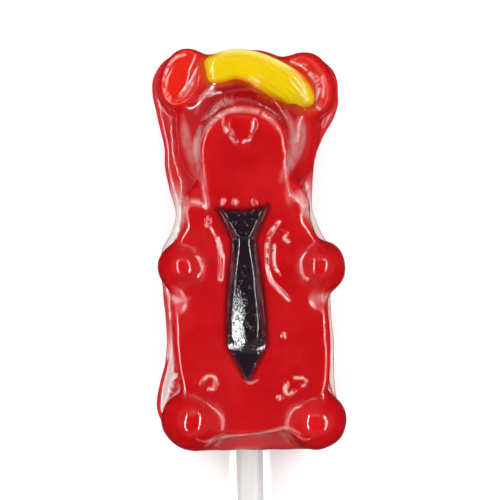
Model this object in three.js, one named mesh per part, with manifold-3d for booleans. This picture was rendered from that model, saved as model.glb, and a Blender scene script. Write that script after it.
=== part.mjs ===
// A gummy bear lollipop: a large bear moulded in soft jelly, on a round stick, with a swept piece of
// hair and a neck tie moulded onto its front in jelly of other colours.
//
// Units are millimetres. The lollipop lies on its back: +Z is up and the way the bear faces, +Y
// points to the top of its head, and +X is to the right of someone who looks at its face. The sizes
// below are in the bear's own frame, with x = 0 on the axis of the stick and z = 0 on the resting
// surface. The finished group is moved so that its origin is the bottom centre of its bounding box.

import * as THREE from "three";
import { mergeVertices } from "three/addons/utils/BufferGeometryUtils.js";
import Module from "manifold-3d";

const wasm = await Module();
wasm.setup();

// ---------------------------------------------------------------------------------------------
// Driving dimensions
// ---------------------------------------------------------------------------------------------

// Clearance between pieces that were moulded or pushed together.
const GAP = 0.3;

// The back is one wide cushion. Its stations run from the top of the head to the feet, and give
// where its outline lies on either side of the stick's axis.
const BACK_STATIONS = [
  { y: 56, left: -20.0, right: 22.0 },
  { y: 47, left: -24.2, right: 26.2 },
  { y: 40, left: -23.8, right: 27.9 },
  { y: 31, left: -22.0, right: 23.4 },
  { y: 24, left: -21.7, right: 20.9 },
  { y: 14, left: -19.3, right: 19.7 },
  { y: 4, left: -20.6, right: 22.4 },
  { y: -14, left: -22.8, right: 24.4 },
  { y: -26, left: -22.0, right: 24.1 },
  { y: -40, left: -25.5, right: 25.4 },
  { y: -47, left: -26.1, right: 26.6 },
  { y: -57, left: -24.0, right: 25.0 },
];
const BACK = {
  top: 54.4,
  bottom: -56.6,
  middle: 9.8, // height of its widest part
  halfDepth: 10.6,
  plan: 2.6, // squareness of its sides, seen from the front
  ends: 12, // squareness of its top and bottom
  depth: 2.4, // squareness of its edge, seen from the side
};

// Every other lump of jelly is a rounded block. `plan` is the squareness of its outline seen from
// the front and `depth` that of its profile seen from the side (2 is an ellipse), `turn` is how far
// it leans in degrees, and `blend` is how far it flows into the lumps before it.
const EAR_BACKS = [
  { centre: [-15.7, 47.4, 9.8], radii: [8.9, 8.9, 9.6], plan: 2, depth: 2.4, blend: 2.5 },
  { centre: [19.0, 45.6, 9.8], radii: [9.2, 9.2, 9.6], plan: 2, depth: 2.4, blend: 2.5 },
];
const EARS = [
  { centre: [-15.4, 48.4, 12.5], radii: [6.9, 8.9, 9.4], plan: 2.2, depth: 2.6, turn: -24, blend: 2 },
  { centre: [18.6, 45.9, 12.5], radii: [8.0, 9.6, 9.4], plan: 2.2, depth: 2.6, turn: 20, blend: 2 },
];
const EAR_DISHES = [
  { centre: [-16.2, 48.9, 23.6], radii: [3.9, 6.6, 6.2], plan: 2, depth: 2, turn: -27, blend: 1.6 },
  { centre: [17.9, 45.6, 23.6], radii: [4.6, 7.0, 6.2], plan: 2, depth: 2, turn: 22, blend: 1.6 },
];
const HEAD = [
  { centre: [0.4, 33.6, 12.0], radii: [20.2, 19.4, 10.6], plan: 2.3, depth: 2.4, blend: 1.8 },
  { centre: [0.6, 34.0, 14.0], radii: [14.6, 14.4, 11.6], plan: 2, depth: 2.2, blend: 2.0 },
];
const TORSO = [
  { centre: [0.6, 1.0, 14.0], radii: [18.0, 15.0, 14.6], plan: 2.3, depth: 2.1, blend: 2.6 },
  { centre: [0.6, -17.0, 14.5], radii: [20.6, 26.0, 18.0], plan: 2.2, depth: 2.1, blend: 4.0 },
  { centre: [1.0, -38.0, 17.0], radii: [18.6, 14.0, 14.4], plan: 2.4, depth: 2.2, blend: 4.0 },
];
const MUZZLE = [
  { centre: [1.0, 26.8, 21.5], radii: [12.2, 12.8, 15.6], plan: 2.1, depth: 2.1, blend: 2.6 },
];
const NOSE = [
  { centre: [0.4, 33.9, 32.6], radii: [4.4, 3.2, 4.2], plan: 2.2, depth: 2.4, blend: 0.8 },
  { centre: [0.4, 31.6, 33.6], radii: [2.7, 3.7, 3.7], plan: 2, depth: 2.2, blend: 1.6 },
];
const ARMS = [
  { centre: [-13.2, 2.4, 17.0], radii: [7.6, 7.2, 10.6], plan: 2, depth: 2.1, blend: 2.6 },
  { centre: [14.4, 1.6, 17.0], radii: [8.2, 7.4, 10.6], plan: 2, depth: 2.1, blend: 2.6 },
  { centre: [-15.4, -5.5, 24.0], radii: [9.0, 7.2, 13.6], plan: 2.3, depth: 2.4, blend: 2.0 },
  { centre: [17.3, -6.0, 24.0], radii: [11.1, 8.1, 13.6], plan: 2.3, depth: 2.4, blend: 2.0 },
];
const LEGS = [
  { centre: [-12.4, -39.0, 21.5], radii: [9.8, 9.6, 12.6], plan: 2.1, depth: 2.1, blend: 2.6 },
  { centre: [14.2, -39.6, 21.5], radii: [10.0, 9.8, 12.6], plan: 2.1, depth: 2.1, blend: 2.6 },
  { centre: [-15.9, -46.9, 23.5], radii: [9.4, 8.9, 13.2], plan: 2.2, depth: 2.6, blend: 1.6 },
  { centre: [17.9, -48.0, 23.5], radii: [9.7, 8.4, 13.2], plan: 2.3, depth: 2.6, blend: 1.6 },
];

// The brow is a low ridge round the top of the muzzle.
const BROW = {
  centre: [0.8, 29.5],
  radius: 12.3,
  from: 35, // degrees round from +X
  to: 155,
  z: 24.4,
  thickness: 2.4, // at the middle
  taper: 0.45, // share of it that is lost at each end
  blend: 2.0,
};

// The cells that the jelly's surface is worked out in, and the space around it.
const CELL = 2.4;
const JELLY_BOX = new THREE.Box3(
  new THREE.Vector3(-31, -62, -7),
  new THREE.Vector3(35, 63, 46),
);

// A form's gauge is never taken smaller than this, which keeps its slopes finite at its middle.
const SMALLEST_GAUGE = 0.05;

// How a point is moved onto a form: the turns it takes, and the step its slope is measured over.
const SETTLE = { turns: 3, step: 0.05 };

// The halvings that find the height of the jelly over a point.
const HALVINGS = 30;

// The hair is one lobe swept along a curve over the forehead. Its stations run from the end beside
// the left ear to the point that hangs below the right ear.
const HAIR_STATIONS = [
  { x: -9.6, y: 50.5, z: 20.6, halfWidth: 4.2 },
  { x: -6.0, y: 51.0, z: 21.4, halfWidth: 3.9 },
  { x: -1.0, y: 52.1, z: 21.4, halfWidth: 3.8 },
  { x: 3.8, y: 51.1, z: 21.8, halfWidth: 4.1 },
  { x: 7.4, y: 49.1, z: 22.4, halfWidth: 4.6 },
  { x: 10.9, y: 47.2, z: 22.8, halfWidth: 4.8 },
  { x: 14.4, y: 44.9, z: 22.4, halfWidth: 4.4 },
  { x: 16.9, y: 41.9, z: 21.6, halfWidth: 3.8 },
  { x: 17.9, y: 38.6, z: 20.8, halfWidth: 2.6 },
];
const HAIR = {
  halfThickness: 3.8,
  strands: 4, // locks across the lobe
  grooveDepth: 0.7,
  endSquareness: 12,
  tipFullness: 0.2, // share of its width that is left at each end
  stepsAlong: 26,
  stepsAround: 20,
};

// The tie is a flat strip with sloping sides: a knot under the chin, and a blade down to the belly.
const TIE_STATIONS = [
  { y: 11.4, halfWidth: 6.7 },
  { y: 7.0, halfWidth: 4.7 },
  { y: 3.4, halfWidth: 3.4 },
  { y: 2.2, halfWidth: 3.2 },
  { y: -8.2, halfWidth: 4.5 },
  { y: -25.0, halfWidth: 5.5 },
  { y: -35.2, halfWidth: 0.5 },
];
const TIE = {
  x: 0.1,
  bevel: 1.5, // width of the sloping side
  narrowestFace: 0.2, // share of the tie's width that its top face keeps at the tip
  proud: 1.9, // height of the top face over the jelly
  edgeProud: 0.5, // height of the foot of the sloping side
  depth: 2.2, // how far it reaches into the jelly
  rowStep: 2.0,
};

const STICK = {
  diameter: 7.5,
  z: 11.5,
  top: -27, // the end inside the bear
  bottom: -152,
  chamfer: 0.5,
  sides: 36,
};

const JELLY_RED = { color: 0xb8101a, roughness: 0.15, metalness: 0 };
const JELLY_YELLOW = { color: 0xecd406, roughness: 0.25, metalness: 0 };
const JELLY_BLACK = { color: 0x17121a, roughness: 0.2, metalness: 0 };
const STICK_WHITE = { color: 0xe9e8e4, roughness: 0.5, metalness: 0 };

// ---------------------------------------------------------------------------------------------
// Jelly forms: each returns roughly the distance in mm from a point to its surface, negative inside
// ---------------------------------------------------------------------------------------------

// A value that runs smoothly through its stations, which go down the y axis.
function throughStations(stations, y, name) {
  const last = stations.length - 1;
  const below = stations.findIndex((station) => station.y <= y);
  const n = below < 0 ? last : Math.max(below, 1);
  const [from, to] = [stations[n - 1], stations[n]];
  const slopeAt = (k) => {
    const [above, under] = [stations[Math.max(k - 1, 0)], stations[Math.min(k + 1, last)]];
    return (under[name] - above[name]) / (under.y - above.y);
  };
  const run = to.y - from.y;
  const t = THREE.MathUtils.clamp((y - from.y) / run, 0, 1);
  return (
    (2 * t ** 3 - 3 * t ** 2 + 1) * from[name] +
    (t ** 3 - 2 * t ** 2 + t) * run * slopeAt(n - 1) +
    (3 * t ** 2 - 2 * t ** 3) * to[name] +
    (t ** 3 - t ** 2) * run * slopeAt(n)
  );
}

// Turns a gauge, which is 1 on a rounded block's surface, into a distance. `outline` is the gauge
// in the front view, `outlineSlopes` are its slopes there, and `c` is the gauge along z.
function gaugeDistance(outline, outlineSlopes, c, halfDepth, depth, longest) {
  const gauge = Math.max((outline ** depth + c ** depth) ** (1 / depth), SMALLEST_GAUGE);
  const outlineShare = (outline / gauge) ** (depth - 1);
  const slope = Math.hypot(
    outlineShare * outlineSlopes[0],
    outlineShare * outlineSlopes[1],
    (c / gauge) ** (depth - 1) / halfDepth,
  );
  return (gauge - 1) / Math.max(slope, 1 / longest);
}

function backCushion(x, y, z) {
  const { plan, ends } = BACK;
  const left = throughStations(BACK_STATIONS, y, "left");
  const right = throughStations(BACK_STATIONS, y, "right");
  const halfWidth = (right - left) / 2;
  const halfLength = (BACK.top - BACK.bottom) / 2;
  const a = Math.abs(x - (left + right) / 2) / halfWidth;
  const b = Math.abs(y - (BACK.top + BACK.bottom) / 2) / halfLength;
  const c = Math.abs(z - BACK.middle) / BACK.halfDepth;
  const outline = Math.max((a ** plan + b ** ends) ** (1 / plan), SMALLEST_GAUGE);
  const slopes = [
    (a / outline) ** (plan - 1) / halfWidth,
    ((ends / plan) * b ** (ends - 1)) / (outline ** (plan - 1) * halfLength),
  ];
  return gaugeDistance(outline, slopes, c, BACK.halfDepth, BACK.depth, halfLength);
}

function roundedBlock(x, y, z, { centre, radii, plan, depth, turn = 0 }) {
  const angle = THREE.MathUtils.degToRad(turn);
  const [dx, dy] = [x - centre[0], y - centre[1]];
  const a = Math.abs(dx * Math.cos(angle) + dy * Math.sin(angle)) / radii[0];
  const b = Math.abs(dy * Math.cos(angle) - dx * Math.sin(angle)) / radii[1];
  const c = Math.abs(z - centre[2]) / radii[2];
  const outline = Math.max((a ** plan + b ** plan) ** (1 / plan), SMALLEST_GAUGE);
  const slopes = [
    (a / outline) ** (plan - 1) / radii[0],
    (b / outline) ** (plan - 1) / radii[1],
  ];
  return gaugeDistance(outline, slopes, c, radii[2], depth, Math.max(...radii));
}

function browRidge(x, y, z) {
  const angle = THREE.MathUtils.clamp(
    Math.atan2(y - BROW.centre[1], x - BROW.centre[0]),
    THREE.MathUtils.degToRad(BROW.from),
    THREE.MathUtils.degToRad(BROW.to),
  );
  const nearX = BROW.centre[0] + BROW.radius * Math.cos(angle);
  const nearY = BROW.centre[1] + BROW.radius * Math.sin(angle);
  const halfSpan = (BROW.to - BROW.from) / 2;
  const fromMiddle = (THREE.MathUtils.radToDeg(angle) - BROW.from - halfSpan) / halfSpan;
  const thickness = BROW.thickness * (1 - BROW.taper * fromMiddle ** 2);
  return Math.hypot(x - nearX, y - nearY, z - BROW.z) - thickness;
}

// The union of two forms, rounded in the corner between them over a distance `blend`.
function join(a, b, blend) {
  const overlap = Math.max(blend - Math.abs(a - b), 0) / blend;
  return Math.min(a, b) - (overlap * overlap * blend) / 4;
}

function carve(a, tool, blend) {
  return -join(-a, tool, blend);
}

function bearForm(x, y, z) {
  const addLump = (form, lump) => join(form, roundedBlock(x, y, z, lump), lump.blend);
  const carveLump = (form, lump) => carve(form, roundedBlock(x, y, z, lump), lump.blend);
  let form = [...EAR_BACKS, ...EARS].reduce(addLump, backCushion(x, y, z));
  form = EAR_DISHES.reduce(carveLump, form);
  form = [...HEAD, ...TORSO].reduce(addLump, form);
  form = join(form, browRidge(x, y, z), BROW.blend);
  return [...MUZZLE, ...NOSE, ...ARMS, ...LEGS].reduce(addLump, form);
}

// ---------------------------------------------------------------------------------------------
// Surface of a form: one vertex in each cell that the surface crosses, four to a face
// ---------------------------------------------------------------------------------------------

function surfaceOf(form, box, cell) {
  const size = box.getSize(new THREE.Vector3());
  const count = [size.x, size.y, size.z].map((length) => Math.ceil(length / cell) + 1);
  const at = (i, j, k) => (k * count[1] + j) * count[0] + i;
  const place = (i, j, k) => [box.min.x + i * cell, box.min.y + j * cell, box.min.z + k * cell];

  const field = new Float64Array(count[0] * count[1] * count[2]);
  for (let k = 0; k < count[2]; k++)
    for (let j = 0; j < count[1]; j++)
      for (let i = 0; i < count[0]; i++) field[at(i, j, k)] = form(...place(i, j, k));
  closeDiagonals(field, count, at);

  const positions = [];
  const vertexOfCell = new Map();
  for (let k = 0; k < count[2] - 1; k++)
    for (let j = 0; j < count[1] - 1; j++)
      for (let i = 0; i < count[0] - 1; i++) {
        const vertex = cellVertex(field, at, place, i, j, k);
        if (!vertex) continue;
        vertexOfCell.set(at(i, j, k), positions.length / 3);
        positions.push(...settle(form, vertex));
      }

  const indices = [];
  for (let k = 1; k < count[2] - 1; k++)
    for (let j = 1; j < count[1] - 1; j++)
      for (let i = 1; i < count[0] - 1; i++) {
        const inside = field[at(i, j, k)] < 0;
        const faces = [
          [at(i + 1, j, k), [at(i, j - 1, k - 1), at(i, j, k - 1), at(i, j, k), at(i, j - 1, k)]],
          [at(i, j + 1, k), [at(i - 1, j, k - 1), at(i - 1, j, k), at(i, j, k), at(i, j, k - 1)]],
          [at(i, j, k + 1), [at(i - 1, j - 1, k), at(i, j - 1, k), at(i, j, k), at(i - 1, j, k)]],
        ];
        for (const [next, cells] of faces) {
          if (inside === field[next] < 0) continue;
          const [a, b, c, d] = cells.map((key) => vertexOfCell.get(key));
          indices.push(...(inside ? [a, b, c, a, c, d] : [a, c, b, a, d, c]));
        }
      }
  return meshGeometry(positions, indices);
}

// Where two inside points of the grid face each other across a diagonal, the surface would touch
// itself along an edge. The outside point that lies nearer to the surface is taken inside.
function closeDiagonals(field, count, at) {
  let closed = 0;
  for (let k = 1; k < count[2] - 1; k++)
    for (let j = 1; j < count[1] - 1; j++)
      for (let i = 1; i < count[0] - 1; i++) {
        const squares = [
          [at(i, j, k), at(i + 1, j, k), at(i + 1, j + 1, k), at(i, j + 1, k)],
          [at(i, j, k), at(i, j + 1, k), at(i, j + 1, k + 1), at(i, j, k + 1)],
          [at(i, j, k), at(i + 1, j, k), at(i + 1, j, k + 1), at(i, j, k + 1)],
        ];
        for (const corners of squares) {
          const inside = corners.map((key) => field[key] < 0);
          if (inside[0] !== inside[2] || inside[1] !== inside[3] || inside[0] === inside[1]) continue;
          const outside = inside[0] ? [corners[1], corners[3]] : [corners[0], corners[2]];
          const nearer = field[outside[0]] < field[outside[1]] ? outside[0] : outside[1];
          field[nearer] = -CELL / 100;
          closed += 1;
        }
      }
  if (closed > 0) closeDiagonals(field, count, at);
}

// The mean of the points where the surface crosses the twelve edges of a cell.
function cellVertex(field, at, place, i, j, k) {
  const sum = [0, 0, 0];
  let crossings = 0;
  for (let axis = 0; axis < 3; axis++)
    for (let side = 0; side < 4; side++) {
      const start = [i, j, k];
      start[(axis + 1) % 3] += side & 1;
      start[(axis + 2) % 3] += side >> 1;
      const end = [...start];
      end[axis] += 1;
      const from = field[at(...start)];
      const to = field[at(...end)];
      if (from < 0 === to < 0) continue;
      const share = from / (from - to);
      const [p, q] = [place(...start), place(...end)];
      for (let n = 0; n < 3; n++) sum[n] += p[n] + share * (q[n] - p[n]);
      crossings += 1;
    }
  return crossings ? sum.map((value) => value / crossings) : null;
}

// Moves a point onto the surface of the form, along the form's slope.
function settle(form, point) {
  const p = [...point];
  for (let turn = 0; turn < SETTLE.turns; turn++) {
    const slope = [0, 1, 2].map((axis) => {
      const [ahead, behind] = [[...p], [...p]];
      ahead[axis] += SETTLE.step;
      behind[axis] -= SETTLE.step;
      return (form(...ahead) - form(...behind)) / (2 * SETTLE.step);
    });
    const steepness = Math.max(Math.hypot(...slope) ** 2, SMALLEST_GAUGE);
    const move = THREE.MathUtils.clamp(form(...p) / steepness, -CELL / 4, CELL / 4);
    for (let axis = 0; axis < 3; axis++) p[axis] -= move * slope[axis];
  }
  return p;
}

// The height of the bear's surface over a point of the resting plane.
function surfaceHeight(x, y) {
  let [low, high] = [BACK.middle, JELLY_BOX.max.z];
  for (let n = 0; n < HALVINGS; n++) {
    const middle = (low + high) / 2;
    if (bearForm(x, y, middle) < 0) low = middle;
    else high = middle;
  }
  return low;
}

// ---------------------------------------------------------------------------------------------
// Geometry and solids
// ---------------------------------------------------------------------------------------------

function meshGeometry(positions, indices) {
  const geometry = new THREE.BufferGeometry();
  geometry.setAttribute("position", new THREE.Float32BufferAttribute(positions, 3));
  geometry.setIndex(indices);
  return geometry;
}

function solidFrom(geometry) {
  const bare = geometry.clone();
  bare.deleteAttribute("normal");
  bare.deleteAttribute("uv");
  const merged = mergeVertices(bare, 1e-4);
  return new wasm.Manifold(
    new wasm.Mesh({
      numProp: 3,
      vertProperties: Float32Array.from(merged.attributes.position.array),
      triVerts: Uint32Array.from(merged.index.array),
    }),
  );
}

function geometryFrom(solid) {
  const mesh = solid.getMesh();
  const positions = [];
  for (let i = 0; i < mesh.numVert; i++) {
    positions.push(...mesh.vertProperties.subarray(i * mesh.numProp, i * mesh.numProp + 3));
  }
  return meshGeometry(positions, Array.from(mesh.triVerts));
}

// A closed skin through rings of equal numbers of points, with a flat or pointed cap at each end.
function skinThrough(rings) {
  const around = rings[0].length;
  const positions = rings.flat().flatMap((point) => [point.x, point.y, point.z]);
  const indices = [];
  for (let row = 0; row < rings.length - 1; row++)
    for (let n = 0; n < around; n++) {
      const [a, b] = [row * around + n, row * around + ((n + 1) % around)];
      indices.push(a, b, b + around, a, b + around, a + around);
    }
  const capStart = positions.length / 3;
  for (const points of [rings[0], rings[rings.length - 1]]) {
    const middle = points
      .reduce((sum, point) => sum.add(point), new THREE.Vector3())
      .divideScalar(around);
    positions.push(middle.x, middle.y, middle.z);
  }
  const lastRow = (rings.length - 1) * around;
  for (let n = 0; n < around; n++) {
    const next = (n + 1) % around;
    indices.push(capStart, next, n);
    indices.push(capStart + 1, lastRow + n, lastRow + next);
  }
  return meshGeometry(positions, indices);
}

// ---------------------------------------------------------------------------------------------
// Hair
// ---------------------------------------------------------------------------------------------

function hairGeometry(grow = 0) {
  const points = HAIR_STATIONS.map(({ x, y, z }) => new THREE.Vector3(x, y, z));
  const spine = new THREE.CatmullRomCurve3(points);
  const halfWidths = HAIR_STATIONS.map(({ halfWidth }) => new THREE.Vector2(halfWidth, 0));
  const widthCurve = new THREE.SplineCurve(halfWidths);
  const rings = [];
  for (let step = 0; step <= HAIR.stepsAlong; step++) {
    const share = step / HAIR.stepsAlong;
    const endward = (2 * share - 1) ** HAIR.endSquareness;
    const fullness = Math.sqrt(Math.max(1 - endward, HAIR.tipFullness ** 2));
    const halfWidth = widthCurve.getPoint(share).x * fullness + grow;
    const halfThickness = HAIR.halfThickness * fullness + grow;
    const centre = spine.getPoint(share);
    const along = spine.getTangent(share);
    const across = new THREE.Vector3(-along.y, along.x, 0).normalize();
    rings.push(hairRing(centre, across, halfWidth, halfThickness));
  }
  rings[0].forEach((point) => point.addScaledVector(spine.getTangent(0), -grow));
  rings[HAIR.stepsAlong].forEach((point) => point.addScaledVector(spine.getTangent(1), grow));
  return skinThrough(rings);
}

// A section of the lobe: an oval whose upper half has a groove between each two locks.
function hairRing(centre, across, halfWidth, halfThickness) {
  const points = [];
  for (let n = 0; n < HAIR.stepsAround; n++) {
    const angle = (2 * Math.PI * n) / HAIR.stepsAround;
    const [side, up] = [Math.cos(angle), Math.sin(angle)];
    const lock = Math.abs(Math.sin((HAIR.strands * Math.PI * (side + 1)) / 2));
    const groove = up > 0 ? HAIR.grooveDepth * (1 - lock) * up : 0;
    const point = centre.clone().addScaledVector(across, side * halfWidth);
    point.z += up * halfThickness - groove;
    points.push(point);
  }
  return points;
}

// ---------------------------------------------------------------------------------------------
// Tie
// ---------------------------------------------------------------------------------------------

function tieHalfWidth(y) {
  const below = TIE_STATIONS.findIndex((station) => station.y <= y + 1e-9);
  const index = below < 0 ? TIE_STATIONS.length - 1 : Math.max(below, 1);
  const [upper, lower] = [TIE_STATIONS[index - 1], TIE_STATIONS[index]];
  const share = (upper.y - y) / (upper.y - lower.y);
  return THREE.MathUtils.lerp(upper.halfWidth, lower.halfWidth, share);
}

function tieRows() {
  const rows = [];
  for (let n = 0; n < TIE_STATIONS.length - 1; n++) {
    const [from, to] = [TIE_STATIONS[n].y, TIE_STATIONS[n + 1].y];
    const steps = Math.max(Math.round((from - to) / TIE.rowStep), 1);
    for (let step = 0; step < steps; step++) rows.push(from + ((to - from) * step) / steps);
  }
  rows.push(TIE_STATIONS[TIE_STATIONS.length - 1].y);
  return rows;
}

function tieGeometry(grow = 0) {
  const top = TIE_STATIONS[0].y;
  const bottom = TIE_STATIONS[TIE_STATIONS.length - 1].y;
  const rings = tieRows().map((y) => {
    const half = tieHalfWidth(y) + grow;
    const face = Math.max(half - TIE.bevel, half * TIE.narrowestFace);
    const nearEnd = Math.min((top - y) / TIE.bevel, (y - bottom) / TIE.bevel, 1);
    const height = THREE.MathUtils.lerp(TIE.edgeProud, TIE.proud, nearEnd) + grow;
    const edge = TIE.edgeProud + grow;
    const jelly = surfaceHeight(TIE.x, y);
    const outward = y === top ? grow : y === bottom ? -grow : 0;
    const corner = (x, z) => new THREE.Vector3(TIE.x + x, y + outward, jelly + z);
    return [
      corner(half, -TIE.depth - grow),
      corner(half, edge),
      corner(face, height),
      corner(-face, height),
      corner(-half, edge),
      corner(-half, -TIE.depth - grow),
    ];
  });
  return skinThrough(rings);
}

// ---------------------------------------------------------------------------------------------
// Stick
// ---------------------------------------------------------------------------------------------

function stickGeometry(grow = 0) {
  const radius = STICK.diameter / 2 + grow;
  const length = STICK.top - STICK.bottom + 2 * grow;
  const profile = [
    new THREE.Vector2(0, 0),
    new THREE.Vector2(radius - STICK.chamfer, 0),
    new THREE.Vector2(radius, STICK.chamfer),
    new THREE.Vector2(radius, length - STICK.chamfer),
    new THREE.Vector2(radius - STICK.chamfer, length),
    new THREE.Vector2(0, length),
  ];
  return new THREE.LatheGeometry(profile, STICK.sides).translate(0, STICK.bottom - grow, STICK.z);
}

// ---------------------------------------------------------------------------------------------
// Bear
// ---------------------------------------------------------------------------------------------

function bearGeometry() {
  const belowFloor = new THREE.BoxGeometry(100, 200, 20).translate(0, 0, -10);
  let bear = solidFrom(surfaceOf(bearForm, JELLY_BOX, CELL));
  for (const tool of [belowFloor, stickGeometry(GAP), hairGeometry(GAP), tieGeometry(GAP)]) {
    bear = bear.subtract(solidFrom(tool));
  }
  return geometryFrom(bear);
}

// ---------------------------------------------------------------------------------------------
// Assembly
// ---------------------------------------------------------------------------------------------

function piece(name, geometry, finish) {
  const mesh = new THREE.Mesh(geometry, new THREE.MeshStandardMaterial(finish));
  mesh.name = name;
  geometry.computeVertexNormals();
  return mesh;
}

const group = new THREE.Group();
group.add(
  piece("bear", bearGeometry(), JELLY_RED),
  piece("hair", hairGeometry(), JELLY_YELLOW),
  piece("tie", tieGeometry(), JELLY_BLACK),
  piece("stick", stickGeometry(), STICK_WHITE),
);

const box = new THREE.Box3().setFromObject(group);
const middle = box.getCenter(new THREE.Vector3());
group.position.set(-middle.x, -middle.y, -box.min.z);

export default group;
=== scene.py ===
"""The looks of a gummy bear lollipop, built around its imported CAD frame.

A large bear moulded in soft red jelly lies on its back on a pale floor: +Z is up and the way it
faces, +Y points to the top of its head. It has a swept piece of yellow hair and a black neck tie
set into its front, and a round white stick. Lengths in the tables are millimetres in the bear's
own frame, whose x is 0 on the axis of the stick and whose z is 0 on the floor.
"""

import logging
import math
from collections.abc import Callable
from dataclasses import dataclass, field, replace
from enum import Enum
from functools import cached_property

import bpy
import numpy as np
from mathutils import Euler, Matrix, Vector
from mathutils.bvhtree import BVHTree


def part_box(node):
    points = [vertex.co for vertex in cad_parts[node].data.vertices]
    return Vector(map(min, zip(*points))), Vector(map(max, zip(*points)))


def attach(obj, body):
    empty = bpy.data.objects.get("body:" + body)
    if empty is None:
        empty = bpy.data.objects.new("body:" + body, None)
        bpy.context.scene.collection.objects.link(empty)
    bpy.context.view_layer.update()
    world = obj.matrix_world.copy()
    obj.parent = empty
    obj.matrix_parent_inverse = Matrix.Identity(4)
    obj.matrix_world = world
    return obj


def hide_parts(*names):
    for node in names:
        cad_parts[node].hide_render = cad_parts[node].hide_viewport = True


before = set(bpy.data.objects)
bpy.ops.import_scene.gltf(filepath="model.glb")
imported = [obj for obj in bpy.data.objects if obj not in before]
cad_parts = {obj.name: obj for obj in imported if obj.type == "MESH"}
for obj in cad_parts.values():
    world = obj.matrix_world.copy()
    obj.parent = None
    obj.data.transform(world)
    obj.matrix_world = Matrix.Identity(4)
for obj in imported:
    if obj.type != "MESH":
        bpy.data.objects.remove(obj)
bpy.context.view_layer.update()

LOG = logging.getLogger("lollipop")

MM = 0.001
STICK_END_Y = -152.0  # the free end of the stick, in the bear's own frame
SMALLEST_GAUGE = 0.05  # keeps the slopes of a rounded block finite at its middle
SMALLEST_SLOPE = 0.05  # keeps a settling step finite where a form is flat
SHORTEST_SQUARED = 1e-9  # keeps the share along a segment finite
FAR = 1e3  # stands for the distance of what is out of reach
STREAK_STEPS, STREAK_LEAST = 8, 0.1  # a soft mark's steps from knot to knot, and least width
STREAK_FADE = (0.1, 1.0)  # where it fades, as shares of its width
CLOUD_RANGE = (0.32, 0.68)  # the noise that makes a cloud
SPECK_RANGE = (0.0, 0.1)  # and how far over its share it makes a speck
LINE_VALUES = 4  # what a line keeps at each knot: a place and its sizes
BALL_SEGMENTS, BALL_RINGS, SLAB_SIDES = 40, 24, 120  # of the blanks that are fused
SLAB_BEVEL, SLAB_STEPS = 0.6, 6  # the slab's rounding, as a share of its half depth

Array = np.ndarray
Object = bpy.types.Object
Socket = bpy.types.NodeSocket
Spot = tuple[float, float]  # x and y in the bear's own frame
Range = tuple[float, float]  # where a mask begins and where it is full
Place = tuple[float, float, float]
Knot = tuple[float, float, float, float]
Colour = tuple[float, float, float, float]


class Slot(Enum):
    """The record's material slots."""

    RED = "jelly_red"
    YELLOW = "jelly_yellow"
    BLACK = "jelly_black"
    STICK = "stick_white"


class Node(Enum):
    """The CAD nodes that the visible pieces stand for."""

    BEAR = "bear"
    HAIR = "hair"
    TIE = "tie"
    STICK = "stick"


# ---- Places ----


def own_frame_origin() -> Array:
    """The origin of the bear's own frame, in the row frame, in metres."""
    low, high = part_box(Node.STICK.value)
    return np.array([(low.x + high.x) / 2, low.y - STICK_END_Y * MM, 0.0])


ORIGIN = own_frame_origin()


def to_row(points: Array) -> Array:
    """Turns millimetres in the bear's own frame into metres in the row frame."""
    return points * MM + ORIGIN


def to_own(points: Array) -> Array:
    """Turns metres in the row frame into millimetres in the bear's own frame."""
    return (points - ORIGIN) / MM


def smooth_table(ys: list[float], values: list[float], at: Array) -> Array:
    """A value that runs smoothly through its stations.

    Args:
        ys: Where the stations are, rising.
        values: The value at each station.
        at: Where the value is wanted.

    Returns:
        The values there, held constant past both ends.
    """
    x, v = np.array(ys, float), np.array(values, float)
    slopes = np.gradient(v, x)
    slopes[1:-1] = (v[2:] - v[:-2]) / (x[2:] - x[:-2])
    n = np.clip(np.searchsorted(x, at, side="right") - 1, 0, len(x) - 2)
    run = x[n + 1] - x[n]
    t = np.clip((at - x[n]) / run, 0.0, 1.0)
    return (
        (2 * t**3 - 3 * t**2 + 1) * v[n]
        + (t**3 - 2 * t**2 + t) * run * slopes[n]
        + (3 * t**2 - 2 * t**3) * v[n + 1]
        + (t**3 - t**2) * run * slopes[n + 1]
    )


def smooth_line(knots: tuple[Knot, ...], steps: int) -> Array:
    """A smooth line through knots.

    Args:
        knots: The values at each knot.
        steps: The pieces from one knot to the next.

    Returns:
        The values at each step, one row for each.
    """
    rows = np.array(knots, float)
    last = len(rows) - 1
    t, fine = np.arange(last + 1, dtype=float), np.linspace(0, last, last * steps + 1)
    return np.stack([smooth_table(t, rows[:, k], fine) for k in range(LINE_VALUES)], axis=1)


def to_segment(p: Array, a: Array, b: Array) -> tuple[Array, Array]:
    """Measures points to a straight segment.

    Args:
        p: The points.
        a: The segment's start.
        b: Its end.

    Returns:
        How far along it the nearest place is, from 0 to 1, and how far off the point is.
    """
    along = b - a
    share = np.clip((p - a) @ along / max(along @ along, SHORTEST_SQUARED), 0, 1)
    return share, np.linalg.norm(p - a - share[:, None] * along, axis=1)


def ease(low: float, high: float, value: Array) -> Array:
    """0 below `low`, 1 above `high` and smooth between."""
    t = np.clip((value - low) / (high - low), 0.0, 1.0)
    return t * t * (3 - 2 * t)


# ---- Working by hand: selecting, entering and leaving edit mode, applying modifiers ----


def deselect_all() -> None:
    """Leaves nothing selected, in object mode."""
    if bpy.context.object and bpy.context.object.mode != "OBJECT":
        bpy.ops.object.mode_set(mode="OBJECT")
    bpy.ops.object.select_all(action="DESELECT")


def take(*objects: Object) -> Object:
    """Selects only these objects, and makes the first the active one.

    Args:
        objects: The objects.

    Returns:
        The first of them.
    """
    deselect_all()
    for obj in objects:
        obj.select_set(True)
    bpy.context.view_layer.objects.active = objects[0]
    return objects[0]


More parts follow.
